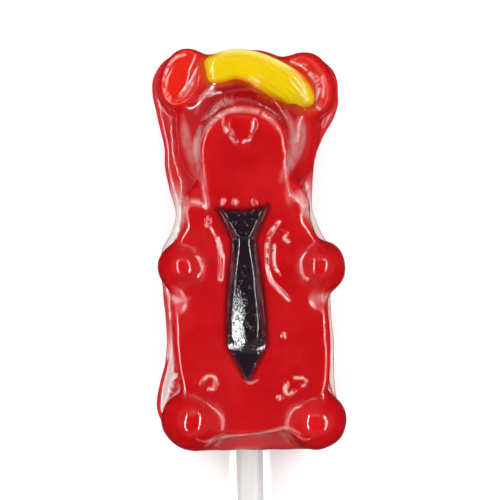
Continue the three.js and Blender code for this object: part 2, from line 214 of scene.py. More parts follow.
def named(name: str) -> Object:
    """Names the active object and its mesh.

    Args:
        name: The piece's name.

    Returns:
        The active object.
    """
    obj = bpy.context.active_object
    obj.name = name
    obj.data.name = name
    return obj


def apply_place(obj: Object) -> None:
    """Puts an object's place, turn and size into its mesh."""
    take(obj)
    bpy.ops.object.transform_apply(location=True, rotation=True, scale=True)


def apply_modifier(obj: Object, kind: str, **settings: object) -> None:
    """Adds a modifier with these settings and applies it at once.

    Args:
        obj: The piece.
        kind: Blender's name for the modifier.
        settings: What the modifier is set to.
    """
    take(obj)
    modifier = obj.modifiers.new(kind.title(), kind)
    for key, value in settings.items():
        setattr(modifier, key, value)
    bpy.ops.object.modifier_apply(modifier=modifier.name)


def edit_all() -> None:
    """Enters edit mode on the active object, with everything selected."""
    bpy.ops.object.mode_set(mode="EDIT")
    bpy.ops.mesh.select_all(action="SELECT")


def edit_faces(obj: Object, chosen: Array) -> None:
    """Enters edit mode with some faces selected.

    Args:
        obj: The piece.
        chosen: Whether each face is.
    """
    take(obj)
    bpy.ops.object.mode_set(mode="EDIT")
    bpy.ops.mesh.select_mode(type="FACE")
    bpy.ops.mesh.select_all(action="DESELECT")
    bpy.ops.object.mode_set(mode="OBJECT")
    obj.data.polygons.foreach_set("select", chosen)
    bpy.ops.object.mode_set(mode="EDIT")


def dress(piece: Object, material: bpy.types.Material) -> None:
    """Gives a piece its one material, and selects it alone.

    Args:
        piece: The piece.
        material: Its material.
    """
    take(piece)
    piece.data.materials.clear()
    piece.data.materials.append(material)


def face_values(obj: Object, name: str) -> Array:
    """Reads a value of each face, as the mesh has it.

    Args:
        obj: The piece.
        name: Blender's name for it, such as center or normal.

    Returns:
        The values, one row for each face.
    """
    flat = np.empty(len(obj.data.polygons) * 3)
    obj.data.polygons.foreach_get(name, flat)
    return flat.reshape(-1, 3)


def mesh_points(obj: Object) -> Array:
    """Reads an object's vertices.

    Args:
        obj: The piece.

    Returns:
        Their places in the bear's own frame, in millimetres.
    """
    flat = np.empty(len(obj.data.vertices) * 3)
    obj.data.vertices.foreach_get("co", flat)
    return to_own(flat.reshape(-1, 3))


def place_points(obj: Object, points: Array) -> None:
    """Moves an object's vertices to these places, given as mesh_points gives them."""
    obj.data.vertices.foreach_set("co", to_row(points).ravel())
    obj.data.update()


def mesh_normals(obj: Object) -> Array:
    """Reads the outward normals at an object's vertices.

    Args:
        obj: The piece.

    Returns:
        The normals, one row for each vertex.
    """
    flat = np.empty(len(obj.data.vertices) * 3)
    obj.data.vertices.foreach_get("normal", flat)
    return flat.reshape(-1, 3)


def point_attribute(obj: Object, name: str, values: Array) -> None:
    """Keeps one number per vertex on a mesh, for its material to read."""
    layer = obj.data.attributes.new(name, "FLOAT", "POINT")
    layer.data.foreach_set("value", values.astype(np.float32))


# ---- Jelly forms ----


def outline_gauge(
    p: Array, centre: Spot, radii: Spot, plan: float, turn: float
) -> tuple[Array, Array, Array]:
    """A gauge of a rounded block seen from the front, which is 1 on its outline.

    Args:
        p: The points.
        centre: The block's middle.
        radii: Its radii.
        plan: The squareness of its outline.
        turn: How far it leans to its left, in degrees.

    Returns:
        The gauge, and its slopes along the block's two axes.
    """
    cosine, sine = math.cos(math.radians(turn)), math.sin(math.radians(turn))
    dx, dy = p[:, 0] - centre[0], p[:, 1] - centre[1]
    a = np.abs(dx * cosine + dy * sine) / radii[0]
    b = np.abs(dy * cosine - dx * sine) / radii[1]
    gauge = np.maximum((a**plan + b**plan) ** (1 / plan), SMALLEST_GAUGE)
    return gauge, (a / gauge) ** (plan - 1) / radii[0], (b / gauge) ** (plan - 1) / radii[1]


def gauge_distance(
    outline: Array,
    slope_x: Array,
    slope_y: Array,
    c: Array,
    half_depth: float,
    depth: float,
    longest: float,
) -> Array:
    """Turns a gauge, which is 1 on a rounded block's surface, into roughly a distance.

    Args:
        outline: The gauge in the front view.
        slope_x: Its slope along the block's first axis.
        slope_y: Its slope along the block's second axis.
        c: The gauge along z.
        half_depth: The block's radius along z.
        depth: The squareness of the block's profile.
        longest: The block's longest radius.

    Returns:
        Millimetres to the surface, negative inside.
    """
    gauge = np.maximum((outline**depth + c**depth) ** (1 / depth), SMALLEST_GAUGE)
    share = (outline / gauge) ** (depth - 1)
    upward = (c / gauge) ** (depth - 1) / half_depth
    slope = np.sqrt((share * slope_x) ** 2 + (share * slope_y) ** 2 + upward**2)
    return (gauge - 1) / np.maximum(slope, 1 / longest)


def join(a: Array, b: Array, blend: float | Array) -> Array:
    """The union of two forms, rounded in the corner between them over `blend`."""
    overlap = np.maximum(blend - np.abs(a - b), 0) / blend
    return np.minimum(a, b) - overlap * overlap * blend / 4


def carve(a: Array, tool: Array, blend: float) -> Array:
    """What is left of a form once a tool is taken out of it."""
    return -join(-a, tool, blend)


@dataclass(frozen=True)
class Lump:
    """A rounded block of jelly.

    `plan` is the squareness of its outline seen from the front and `depth` that of its profile
    (2 is an ellipse). `turn` is how far it leans, in degrees, and `blend` is how far it flows into
    the lumps before it.
    """

    centre: Place
    radii: Place
    plan: float = 2.0
    depth: float = 2.0
    blend: float = 2.0
    turn: float = 0.0

    def distance(self, p: Array) -> Array:
        """Measures points to the lump.

        Args:
            p: The points.

        Returns:
            Roughly the millimetres to it from each, negative inside.
        """
        gauge = outline_gauge(p, self.centre, self.radii, self.plan, self.turn)
        height = np.abs(p[:, 2] - self.centre[2]) / self.radii[2]
        return gauge_distance(*gauge, height, self.radii[2], self.depth, max(self.radii))

    def blank(self) -> Object:
        """Models the lump as a ball, to be fused with the others.

        Returns:
            The ball.
        """
        place = to_row(np.array(self.centre))
        deselect_all()
        bpy.ops.mesh.primitive_uv_sphere_add(
            segments=BALL_SEGMENTS, ring_count=BALL_RINGS, radius=MM, location=place,
            rotation=(0, 0, math.radians(self.turn)),
        )
        ball = named("blank")
        ball.scale = self.radii
        apply_place(ball)
        return ball


@dataclass(frozen=True)
class Pad:
    """An upright block of jelly with a gently domed top.

    `top` is the height of its middle and `drop` how much lower its border is, before the corner
    there is rounded over `corner`. The rest is as for a lump.
    """

    centre: Spot
    radii: Spot
    top: float
    drop: float = 2.0
    corner: float = 3.0
    plan: float = 2.0
    blend: float = 2.0
    turn: float = 0.0
    tilt: Spot = (0.0, 0.0)  # how steeply its top climbs in x and y

    def distance(self, p: Array) -> Array:
        """Measures points to the pad.

        Args:
            p: The points.

        Returns:
            Roughly the millimetres to it from each, negative inside.
        """
        gauge = outline_gauge(p, self.centre, self.radii, self.plan, self.turn)
        outline, slope_x, slope_y = gauge
        across = (outline - 1) / np.maximum(np.hypot(slope_x, slope_y), 1 / max(self.radii))
        climb = (p[:, :2] - np.array(self.centre)) @ np.array(self.tilt)
        above = p[:, 2] - self.top + self.drop * outline**2 - climb
        return -join(-across, -above, self.corner)

    def blank(self) -> Object:
        """Models the pad as a ball, to be fused with the others.

        Returns:
            The ball.
        """
        middle = self.top / 2
        centre = (self.centre[0], self.centre[1], middle)
        radii = (self.radii[0], self.radii[1], middle)
        return Lump(centre, radii, self.plan, turn=self.turn).blank()


@dataclass(frozen=True)
class Knob:
    """A small bump on the jelly: its place, its two radii and how far it rises."""

    place: Spot
    radii: Spot
    rise: float
    turn: float = 0.0
    blend: float = 0.6
    rooted: float = 1.6  # its half depth for each millimetre that it rises
    crest_share: float = 1 / 3  # how much of its length is its crest

    def crest(self) -> tuple[Spot, ...]:
        """The two ends of its crest."""
        (x, y), half = self.place, self.radii[1] * self.crest_share
        return ((x, y - half), (x, y + half))

    def on(self, surface: float) -> Lump:
        """Stands the knob on the jelly.

        Args:
            surface: How high the jelly is under it.

        Returns:
            The knob as a lump.
        """
        deep = self.rooted * self.rise
        centre = (self.place[0], self.place[1], surface + self.rise - deep)
        return Lump(centre, (self.radii[0], self.radii[1], deep), blend=self.blend, turn=self.turn)


@dataclass(frozen=True)
class Ridge:
    """A rounded cord of jelly along a smooth line of points (x, y, z, radius)."""

    points: tuple[Knot, ...]
    blend: float = 1.0
    steps: int = 10

    def distance(self, p: Array) -> Array:
        """Measures points to the ridge.

        Args:
            p: The points.

        Returns:
            Roughly the millimetres to it from each, negative inside.
        """
        line = smooth_line(self.points, self.steps)
        reach = line[:, 3].max() + 4 * self.blend
        low, high = line[:, :3].min(0) - reach, line[:, :3].max(0) + reach
        near = np.all((p > low) & (p < high), axis=1)
        out = np.full(len(p), FAR)
        q = p[near]
        best = np.full(len(q), FAR)
        for a, b in zip(line[:-1], line[1:]):
            share, gap = to_segment(q, a[:3], b[:3])
            best = np.minimum(best, gap - (a[3] + share * (b[3] - a[3])))
        out[near] = best
        return out


@dataclass(frozen=True)
class Welt:
    """A thin raised line on the jelly, through places (x, y)."""

    places: tuple[Spot, ...]
    rise: float = 0.36
    radius: float = 1.0
    blend: float = 0.2

    def on(self, surfaces: Array) -> Ridge:
        """Lays the welt in the jelly.

        Args:
            surfaces: How high the jelly is under each of its places.

        Returns:
            The welt as a cord.
        """
        heights = surfaces + self.rise - self.radius
        cord = tuple((x, y, float(z), self.radius) for (x, y), z in zip(self.places, heights))
        return Ridge(cord, self.blend, steps=4)


@dataclass(frozen=True)
class BackCushion:
    """The bear's back: one wide cushion whose sides follow stations from feet to head."""

    ys: tuple[float, ...] = (-57, -47, -40, -26, -14, -4, 1, 5, 9, 14, 24, 31, 40, 47, 56)
    left: tuple[float, ...] = (
        -24.0, -26.1, -25.5, -22.0, -22.8, -23.6, -22.6, -20.4, -19.0, -19.4, -21.7, -22.0, -23.8,
        -24.2, -20.0,
    )
    right: tuple[float, ...] = (
        25.0, 26.6, 25.4, 24.1, 24.4, 25.6, 24.2, 21.8, 20.4, 19.8, 20.9, 23.4, 27.9, 26.2, 22.0,
    )
    top: float = 54.4
    bottom: float = -56.6
    middle: float = 9.8
    half_depth: float = 10.6
    plan: float = 2.6
    ends: float = 12.0
    depth: float = 2.4

    def sides(self, y: Array) -> tuple[Array, Array]:
        """Where the cushion's two sides are at each y."""
        return smooth_table(self.ys, self.left, y), smooth_table(self.ys, self.right, y)

    def distance(self, p: Array) -> Array:
        """Measures points to the cushion.

        Args:
            p: The points.

        Returns:
            Roughly the millimetres to it from each, negative inside.
        """
        left, right = self.sides(p[:, 1])
        half_width = (right - left) / 2
        half_length = (self.top - self.bottom) / 2
        a = np.abs(p[:, 0] - (left + right) / 2) / half_width
        b = np.abs(p[:, 1] - (self.top + self.bottom) / 2) / half_length
        c = np.abs(p[:, 2] - self.middle) / self.half_depth
        outline = (a**self.plan + b**self.ends) ** (1 / self.plan)
        outline = np.maximum(outline, SMALLEST_GAUGE)
        slope_x = (a / outline) ** (self.plan - 1) / half_width
        slope_y = (
            self.ends / self.plan * b ** (self.ends - 1) / outline ** (self.plan - 1) / half_length
        )
        gauge = (outline, slope_x, slope_y, c)
        return gauge_distance(*gauge, self.half_depth, self.depth, half_length)

    def blank(self) -> Object:
        """Models a round slab pulled out to the cushion's sides, to be fused with the lumps.

        Returns:
            The slab.
        """
        deselect_all()
        centre = np.array([0, (self.top + self.bottom) / 2, self.middle])
        bpy.ops.mesh.primitive_cylinder_add(
            vertices=SLAB_SIDES, radius=MM, depth=MM, location=to_row(centre)
        )
        slab = named("blank_back")
        slab.scale = (1, (self.top - self.bottom) / 2, 2 * self.half_depth)
        apply_place(slab)
        points = mesh_points(slab)
        left, right = self.sides(points[:, 1])
        reach = np.abs(points[:, 1] - centre[1]) / ((self.top - self.bottom) / 2)
        fullness = np.clip(1 - reach**self.ends, 0.0, 1) ** (1 / self.plan)
        side = np.sign(points[:, 0])
        half_width = (right - left) / 2
        points[:, 0] = (left + right) / 2 + side * half_width * fullness
        place_points(slab, points)
        width = SLAB_BEVEL * self.half_depth * MM
        apply_modifier(slab, "BEVEL", width=width, segments=SLAB_STEPS)
        return slab


@dataclass(frozen=True)
class JellyForm:
    """The whole form of the bear, as one distance from any point."""

    back: BackCushion = BackCushion()
    ear_backs: tuple[Lump, ...] = (
        Lump((-15.7, 47.4, 9.8), (8.9, 8.9, 9.6), 2, 2.4, 2.5),
        Lump((19.0, 45.6, 9.8), (9.2, 9.2, 9.6), 2, 2.4, 2.5),
    )
    ears: tuple[Lump, ...] = (
        Lump((-15.4, 48.4, 12.5), (7.3, 9.2, 9.4), 2.2, 3.0, 2, -24),
        Lump((18.6, 45.9, 12.5), (8.2, 9.8, 9.4), 2.2, 3.0, 2, 20),
    )
    ear_dishes: tuple[Lump, ...] = (
        Lump((-16.3, 48.9, 25.0), (4.8, 8.2, 6.4), 2, 7, 0.35, -27),
        Lump((18.4, 45.4, 25.0), (5.2, 8.0, 6.4), 2, 7, 0.35, 22),
    )
    head: tuple[Lump, ...] = (
        Lump((1.8, 33.6, 12.0), (20.6, 19.4, 10.6), 2.3, 2.6, 1.8),
        Lump((0.6, 34.0, 14.0), (14.6, 14.4, 11.6), 2, 2.2, 2.0),
    )
    torso: tuple[Pad | Lump, ...] = (
        Lump((1.4, -46.6, 13.0), (22.0, 10.0, 6.6), 4.0, 3.0, 1.0),
        Pad((0.8, 12.5), (17.4, 9.8), 30.6, 1.6, 2.0, 2.0, 2.5, 0, (0, -0.12)),
        Pad((0.8, -2.0), (19.2, 20.0), 30.8, 1.8, 2.4, 2.3, 5.0, 0, (0, -0.02)),
        Pad((1.4, -20.8), (21.8, 30.2), 32.0, 2.8, 1.6, 3.2, 4.0, 2.5),
    )
    muzzle: tuple[Pad, ...] = (
        Pad((0.8, 26.5), (12.4, 13.3), 34.2, 1.8, 1.0, 2.1, 3.0, 0, (0, 0.26)),
    )
    nose: tuple[Pad, ...] = (
        Pad((0.3, 34.2), (4.3, 2.9), 36.35, 0.3, 0.9, 2.4, 0.5, 0, (0, 0.2)),
        Pad((0.3, 31.4), (2.6, 3.4), 35.75, 0.3, 0.9, 2.0, 1.0, 0, (0, 0.2)),
    )
    arms: tuple[Lump, ...] = (
        Lump((-16.7, -4.2, 20.6), (7.7, 7.5, 13.9), 2, 2, 3.0),
        Lump((20.7, -5.2, 20.6), (7.9, 7.7, 13.9), 2, 2, 3.0),
    )
    legs: tuple[Lump, ...] = (
        Lump((-15.4, -46.8, 20.6), (9.1, 9.0, 14.3), 2, 2, 3.2),
        Lump((18.7, -47.9, 20.6), (9.0, 8.5, 14.3), 2, 2, 3.2),
    )
    knobs: tuple[Knob, ...] = (
        Knob((8.7, -40.8), (0.9, 0.9), 0.5),  # on a thigh
        Knob((-9.5, 8.0), (1.1, 1.8), 0.7, -10),  # on a shoulder
        Knob((10.2, -23.6), (0.8, 1.1), 0.5),  # on the belly
        Knob((-5.4, 13.4), (0.7, 1.3), 0.6, -20),  # under the chin
        Knob((-2.0, 13.2), (0.8, 1.4), 0.7),
        Knob((3.2, 13.0), (0.8, 1.4), 0.7, 15),
    )
    welts: tuple[Welt, ...] = (
        Welt(((-8.8, 6.9), (-7.5, 4.6), (-6.5, 1.6), (-6.1, -2.5), (-6.3, -5.3), (-6.7, -8.0))),
        Welt((
            (9.6, 7.5), (7.6, 4.8), (6.5, 2.1), (6.4, -1.5), (6.4, -5.1), (7.2, -8.4),
            (8.8, -10.4), (11.6, -13.9),
        )),
        Welt(((8.3, 1.2), (8.1, -1.5), (8.3, -4.5), (9.4, -7.1)), 0.3, 0.7),
        Welt((
            (-12.4, -36.2), (-10.9, -34.4), (-9.0, -34.7), (-8.4, -36.4), (-9.3, -38.0),
            (-10.2, -38.0),
        )),
        Welt(((13.0, -35.4), (14.6, -35.6), (15.8, -36.6))),
        Welt(((15.5, -37.5), (13.2, -38.2), (11.4, -40.0), (10.3, -38.5), (10.8, -36.8))),
        Welt(((10.0, 5.0), (11.6, 4.2), (11.0, 2.9), (12.2, 1.9)), 0.35, 0.8),
    )
    nose_welts: tuple[Welt, ...] = (
        Welt(((-4.1, 36.1), (-4.3, 34.4), (-3.6, 32.6)), 0.3, 0.8),
        Welt(((-2.6, 31.2), (-1.0, 29.7)), 0.3, 0.8),
        Welt(((3.3, 35.3), (3.3, 33.6), (2.9, 32.2)), 0.3, 0.8),
        Welt(((1.9, 30.9), (0.6, 29.4)), 0.3, 0.8),
    )
    ear_welts: tuple[Welt, ...] = (
        Welt((
            (-19.6, 42.9), (-21.0, 45.4), (-21.0, 48.6), (-19.8, 52.0), (-17.6, 54.4),
            (-15.2, 55.2),
        ), 0.35, 0.9),
        Welt(((-11.3, 52.3), (-12.6, 49.8), (-14.2, 47.0), (-16.6, 43.6)), 0.35, 0.9),
        Welt(((14.5, 52.2), (16.8, 51.4), (19.3, 51.1)), 0.35, 0.9),
        Welt(((19.4, 48.9), (21.2, 46.9), (22.1, 44.4), (21.2, 41.5)), 0.35, 0.9),
        Welt(((23.0, 47.8), (23.5, 45.0), (23.1, 42.4)), 0.35, 0.7),
        Welt(((20.0, 40.5), (22.2, 38.9)), 0.35, 0.7),
    )
    hair_bed: Ridge = Ridge(
        (
            (-9.4, 50.0, 17.4, 3.8), (-6.0, 50.2, 17.6, 5.4), (-1.0, 50.6, 17.6, 5.8),
            (3.8, 49.9, 17.6, 6.2), (7.4, 48.6, 17.7, 6.6), (10.9, 46.6, 17.8, 6.7),
            (14.4, 44.2, 17.8, 6.4), (16.6, 41.8, 17.6, 5.0), (17.2, 40.2, 17.2, 3.8),
        ),
        blend=3.0,
    )
    chin_flow: tuple[float, float, float] = (9.0, 14.0, 32.0)  # blend, full below, none above
    brow: Ridge = Ridge(
        (
            (10.9, 36.6, 24.4, 1.3), (7.6, 39.8, 24.4, 2.0), (3.0, 41.6, 24.4, 2.4),
            (-1.4, 41.6, 24.4, 2.4), (-6.0, 39.8, 24.4, 2.0), (-10.3, 34.7, 24.4, 1.3),
        ),
        blend=2.0,
    )
    floor_blend: float = 1.2
    seam: float = 11.0  # the height at which the two halves of the mould met
    seam_round: float = 2.4
    seam_blend: float = 0.5
    back_shift: float = -0.3  # how far the back half sits to the side
    front_inset: float = 0.25  # and how far the front half stands in from its own outline
    highest: float = 46.0  # a height above all of the jelly
    halvings: int = 24  # of the search for the jelly's top
    probe: float = 0.05  # the step with which slopes are taken

    def blocks(self) -> list[Lump | Pad]:
        """The blocks that are fused first, in order, without hollows or knobs."""
        groups = (self.ear_backs, self.ears, self.head, self.torso)
        groups += (self.muzzle, self.nose, self.arms, self.legs)
        return [lump for group in groups for lump in group]

    def front(self, p: Array) -> Array:
        """Measures points to the front half.

        Args:
            p: The points.

        Returns:
            Roughly the millimetres to it from each, negative inside.
        """
        form = self.ears[0].distance(p)
        for lump in self.ears[1:]:
            form = join(form, lump.distance(p), lump.blend)
        for lump in self.ear_dishes:
            form = carve(form, lump.distance(p), lump.blend)
        for lump in self.head + self.torso:
            form = join(form, lump.distance(p), lump.blend)
        form = join(form, self.hair_bed.distance(p), self.hair_bed.blend)
        form = join(form, self.brow.distance(p), self.brow.blend)
        wide, low, high = self.chin_flow
        for lump in self.muzzle:
            blend = lump.blend + (wide - lump.blend) * (1 - ease(low, high, p[:, 1]))
            form = join(form, lump.distance(p), blend)
        for lump in self.nose + self.arms + self.legs + self.raised:
            form = join(form, lump.distance(p), lump.blend)
        return form + self.front_inset

    @cached_property
    def raised(self) -> tuple[Lump | Ridge, ...]:
        """The knobs and welts, each on the surface that is under it."""
        if not self.knobs:
            return ()
        smooth = replace(self, knobs=())
        shapes = [knob.on(float(smooth.surface(knob.place)[0])) for knob in self.knobs]
        shapes += [welt.on(smooth.surface(*welt.places)) for welt in self.all_welts()]
        return tuple(shapes)

    def all_welts(self) -> tuple[Welt, ...]:
        """Every thin raised line."""
        return self.welts + self.nose_welts + self.ear_welts

    def near_mark(self, p: Array, reach: float) -> Array:
        """Whether each point is within this reach of a knob or a welt."""
        return np.min([shape.distance(p) for shape in self.raised], axis=0) < reach

    def surface(self, *places: Spot) -> Array:
        """The height of the front's own surface, before its inset, at each place."""
        spots = np.array(places)
        return self.top_height(spots[:, 0], spots[:, 1]) + self.front_inset

    def behind(self, p: Array) -> Array:
        """Measures points to the back half.

        Args:
            p: The points.

        Returns:
            Roughly the millimetres to it from each, negative inside.
        """
        shifted = p - np.array([self.back_shift, 0.0, 0.0])
        form = self.back.distance(shifted)
        for lump in self.ear_backs + self.torso + self.arms + self.legs:
            form = join(form, lump.distance(shifted), lump.blend)
        return carve(form, self.seam - p[:, 2], self.seam_round)

    def distance(self, p: Array) -> Array:
        """Roughly the millimetres from each point to the bear, negative inside."""
        both = join(self.front(p), self.behind(p), self.seam_blend)
        return carve(both, p[:, 2], self.floor_blend)

    def slope(self, p: Array, here: Array) -> Array:
        """The direction in which the distance grows.

        Args:
            p: The points.
            here: The distance at each of them.

        Returns:
            How much it grows along x, y and z at each point.
        """
        columns = []
        for axis in range(3):
            ahead = p.copy()
            ahead[:, axis] += self.probe
            columns.append((self.distance(ahead) - here) / self.probe)
        return np.stack(columns, axis=1)

    def settle(self, obj: Object, turns: int, reach: float) -> None:
        """Moves a mesh's vertices onto the form.

        Args:
            obj: The mesh.
            turns: How many times the points are moved.
            reach: The furthest a point moves in one turn, in millimetres.
        """
        p = mesh_points(obj)
        for _ in range(turns):
            here = self.distance(p)
            slope = self.slope(p, here)
            steepness = np.maximum((slope**2).sum(1), SMALLEST_SLOPE)
            move = np.clip(here / steepness, -reach, reach)
            p -= move[:, None] * slope
        place_points(obj, p)

    def top_height(self, x: Array, y: Array) -> Array:
        """Finds the jelly's upper surface.

        Args:
            x: Where, in the bear's own frame.
            y: The same along y.

        Returns:
            Its height at each place.
        """
        low, high = np.full(len(x), self.back.middle), np.full(len(x), self.highest)
        for _ in range(self.halvings):
            middle = (low + high) / 2
            inside = self.distance(np.stack([x, y, middle], axis=1)) < 0
            low, high = np.where(inside, middle, low), np.where(inside, high, middle)
        return low


# ---- Materials ----


@dataclass
class Sheet:
    """A node tree while it is being wired, for a material or for a shared group."""

    tree: bpy.types.NodeTree

    def add(self, kind: str, **settings: object) -> bpy.types.Node:
        """Adds a node and sets what is named.

        Args:
            kind: Blender's name for the node.
            settings: Properties of the node.

        Returns:
            The node.
        """
        node = self.tree.nodes.new(kind)
        for key, value in settings.items():
            setattr(node, key, value)
        return node

    def link(self, source: Socket, target: Socket) -> None:
        """Joins two sockets."""
        self.tree.links.new(source, target)

    def math(self, operation: str, a: object, b: object = None) -> Socket:
        """A sum, product or other operation on sockets or numbers.

        Args:
            operation: Blender's name for it.
            a: The first socket or number.
            b: The second, where it takes one.

        Returns:
            The socket with the result.
        """
        node = self.add("ShaderNodeMath", operation=operation)
        for socket, value in zip(node.inputs, (a, b)):
            self.feed(socket, value)
        return node.outputs[0]

    def feed(self, socket: Socket, value: object) -> None:
        """Sets a socket, or links another one to it.

        Args:
            socket: The socket.
            value: A number, a colour or a socket.
        """
        if value is None:
            return
        if isinstance(value, Socket):
            self.link(value, socket)
        else:
            socket.default_value = value

    def spread(self, value: object, low: float, high: float) -> Socket:
        """Stretches a range of a value smoothly over 0 to 1.

        Args:
            value: The value.
            low: What becomes 0.
            high: What becomes 1.

        Returns:
            The socket with the result.
        """
        node = self.add("ShaderNodeMapRange", interpolation_type="SMOOTHSTEP")
        self.feed(node.inputs["Value"], value)
        node.inputs["From Min"].default_value = low
        node.inputs["From Max"].default_value = high
        return node.outputs["Result"]

    def scaled(self, value: object, factor: object, offset: object = 0.0) -> Socket:
        """A value times a factor, with an offset added where there is one."""
        product = self.math("MULTIPLY", value, factor)
        return self.math("ADD", product, offset) if offset else product

    def noise(self, place: Socket, scale: Socket, detail: float) -> Socket:
        """Adds smooth noise.

        Args:
            place: Where it is read.
            scale: How fine it is.
            detail: How many finer layers it has.

        Returns:
            The noise, from 0 to 1.
        """
        node = self.add("ShaderNodeTexNoise")
        node.inputs["Detail"].default_value = detail
        self.link(place, node.inputs["Vector"])
        self.link(scale, node.inputs["Scale"])
        return node.outputs["Fac"]

    def blend(self, share: object, a: object, b: object) -> Socket:
        """Mixes two colours.

        Args:
            share: How much of the second.
            a: The first colour.
            b: The second colour.

        Returns:
            The mixed colour.
        """
        node = self.add("ShaderNodeMix", data_type="RGBA")
        self.feed(node.inputs["Factor"], share)
        colours = [s for s in node.inputs if s.type == "RGBA"]
        self.feed(colours[0], a)
        self.feed(colours[1], b)
        return [s for s in node.outputs if s.type == "RGBA"][0]


class SharedGroups:
    """The node groups that more than one finish uses."""

    @staticmethod
    def start(name: str, sockets: dict[str, tuple[str, object]], outputs: tuple[str, ...]) -> tuple:
        """Begins a group with named inputs and outputs.

        Args:
            name: The group's name.
            sockets: For each input, its socket kind and starting value.
            outputs: The names of the value outputs.

        Returns:
            The group's sheet, its input node and its output node.
        """
        tree = bpy.data.node_groups.new(name, "ShaderNodeTree")
        for label, (kind, value) in sockets.items():
            socket = tree.interface.new_socket(label, in_out="INPUT", socket_type=kind)
            if value is not None:
                socket.default_value = value
        for label in outputs:
            tree.interface.new_socket(label, in_out="OUTPUT", socket_type="NodeSocketFloat")
        sheet = Sheet(tree)
        return sheet, sheet.add("NodeGroupInput"), sheet.add("NodeGroupOutput")

    @classmethod
    def wet_skin(cls) -> bpy.types.NodeTree:
        """The skin of moulded jelly: slow swells, small dents and fine pits, as one height.

        Returns:
            The group.
        """
        if "wet skin" in bpy.data.node_groups:
            return bpy.data.node_groups["wet skin"]
        sheet, given, out = cls.start(
            "wet skin",
            {
                "Vector": ("NodeSocketVector", None),
                "Swell Size": ("NodeSocketFloat", 90.0),
                "Swell": ("NodeSocketFloat", 1.0),
                "Dent Size": ("NodeSocketFloat", 420.0),
                "Dent": ("NodeSocketFloat", 0.25),
                "Pit Size": ("NodeSocketFloat", 1600.0),
                "Pit": ("NodeSocketFloat", 0.1),
            },
            ("Height",),
        )
        total = None
        for label, detail in (("Swell", 1.0), ("Dent", 2.0), ("Pit", 1.0)):
            noise = sheet.noise(given.outputs["Vector"], given.outputs[f"{label} Size"], detail)
            share = sheet.math("MULTIPLY", noise, given.outputs[label])
            total = share if total is None else sheet.math("ADD", total, share)
        sheet.link(total, out.inputs["Height"])
        return sheet.tree

    @classmethod
    def clouds(cls) -> bpy.types.NodeTree:
        """Faint clouds and specks inside jelly, as two masks.

        Returns:
            The group.
        """
        if "clouds" in bpy.data.node_groups:
            return bpy.data.node_groups["clouds"]
        sheet, given, out = cls.start(
            "clouds",
            {
                "Vector": ("NodeSocketVector", None),
                "Cloud Size": ("NodeSocketFloat", 60.0),
                "Speck Size": ("NodeSocketFloat", 500.0),
                "Speck Share": ("NodeSocketFloat", 0.7),
            },
            ("Cloud", "Speck"),
        )
        noise = sheet.noise(given.outputs["Vector"], given.outputs["Cloud Size"], 3.0)
        sheet.link(sheet.spread(noise, *CLOUD_RANGE), out.inputs["Cloud"])
        fine = sheet.noise(given.outputs["Vector"], given.outputs["Speck Size"], 1.0)
        over = sheet.math("SUBTRACT", fine, given.outputs["Speck Share"])
        sheet.link(sheet.spread(over, *SPECK_RANGE), out.inputs["Speck"])
        return sheet.tree


@dataclass
class Finish:
    """A material while it is being made: a Principled shader and the sheet that feeds it."""

    name: str
    sheet: Sheet = field(init=False)
    shader: bpy.types.Node = field(init=False)
    output: bpy.types.Node = field(init=False)
    material: bpy.types.Material = field(init=False)

    def __post_init__(self) -> None:
        """Makes the material with a bare shader."""
        self.material = bpy.data.materials.new(self.name)
        self.material.use_nodes = True
        tree = self.material.node_tree
        tree.nodes.clear()
        self.sheet = Sheet(tree)
        self.output = self.sheet.add("ShaderNodeOutputMaterial")
        self.shader = self.sheet.add("ShaderNodeBsdfPrincipled")
        self.sheet.link(self.shader.outputs["BSDF"], self.output.inputs["Surface"])

    def place(self) -> Socket:
        """The place on the piece that patterns read."""
        return self.sheet.add("ShaderNodeTexCoord").outputs["Object"]

    def plain(self, **values: object) -> None:
        """Sets the shader's own sockets, with spaces in their names written as underscores."""
        for key, value in values.items():
            self.shader.inputs[key.replace("_", " ")].default_value = value

    def group(self, tree: bpy.types.NodeTree, **values: object) -> bpy.types.Node:
        """Places a shared group and sets its inputs.

        Args:
            tree: The group.
            values: Its inputs, with spaces in their names written as underscores.

        Returns:
            The group's node.
        """
        node = self.sheet.add("ShaderNodeGroup", node_tree=tree)
        for key, value in values.items():
            self.sheet.feed(node.inputs[key.replace("_", " ")], value)
        return node

    def attribute(self, name: str) -> Socket:
        """A number kept on the mesh's vertices."""
        return self.sheet.add("ShaderNodeAttribute", attribute_name=name).outputs["Fac"]

    def drive(self, name: str, value: Socket) -> None:
        """Feeds one of the shader's sockets."""
        self.sheet.link(value, self.shader.inputs[name])

    def bump(self, height: Socket, depth: float) -> None:
        """Raises the surface by a height.

        Args:
            height: The height, from 0 to about 1.
            depth: What 1 means, in metres.
        """
        node = self.sheet.add("ShaderNodeBump")
        node.inputs["Strength"].default_value = 1.0
        node.inputs["Distance"].default_value = depth
        self.sheet.link(height, node.inputs["Height"])
        self.drive("Normal", node.outputs["Normal"])


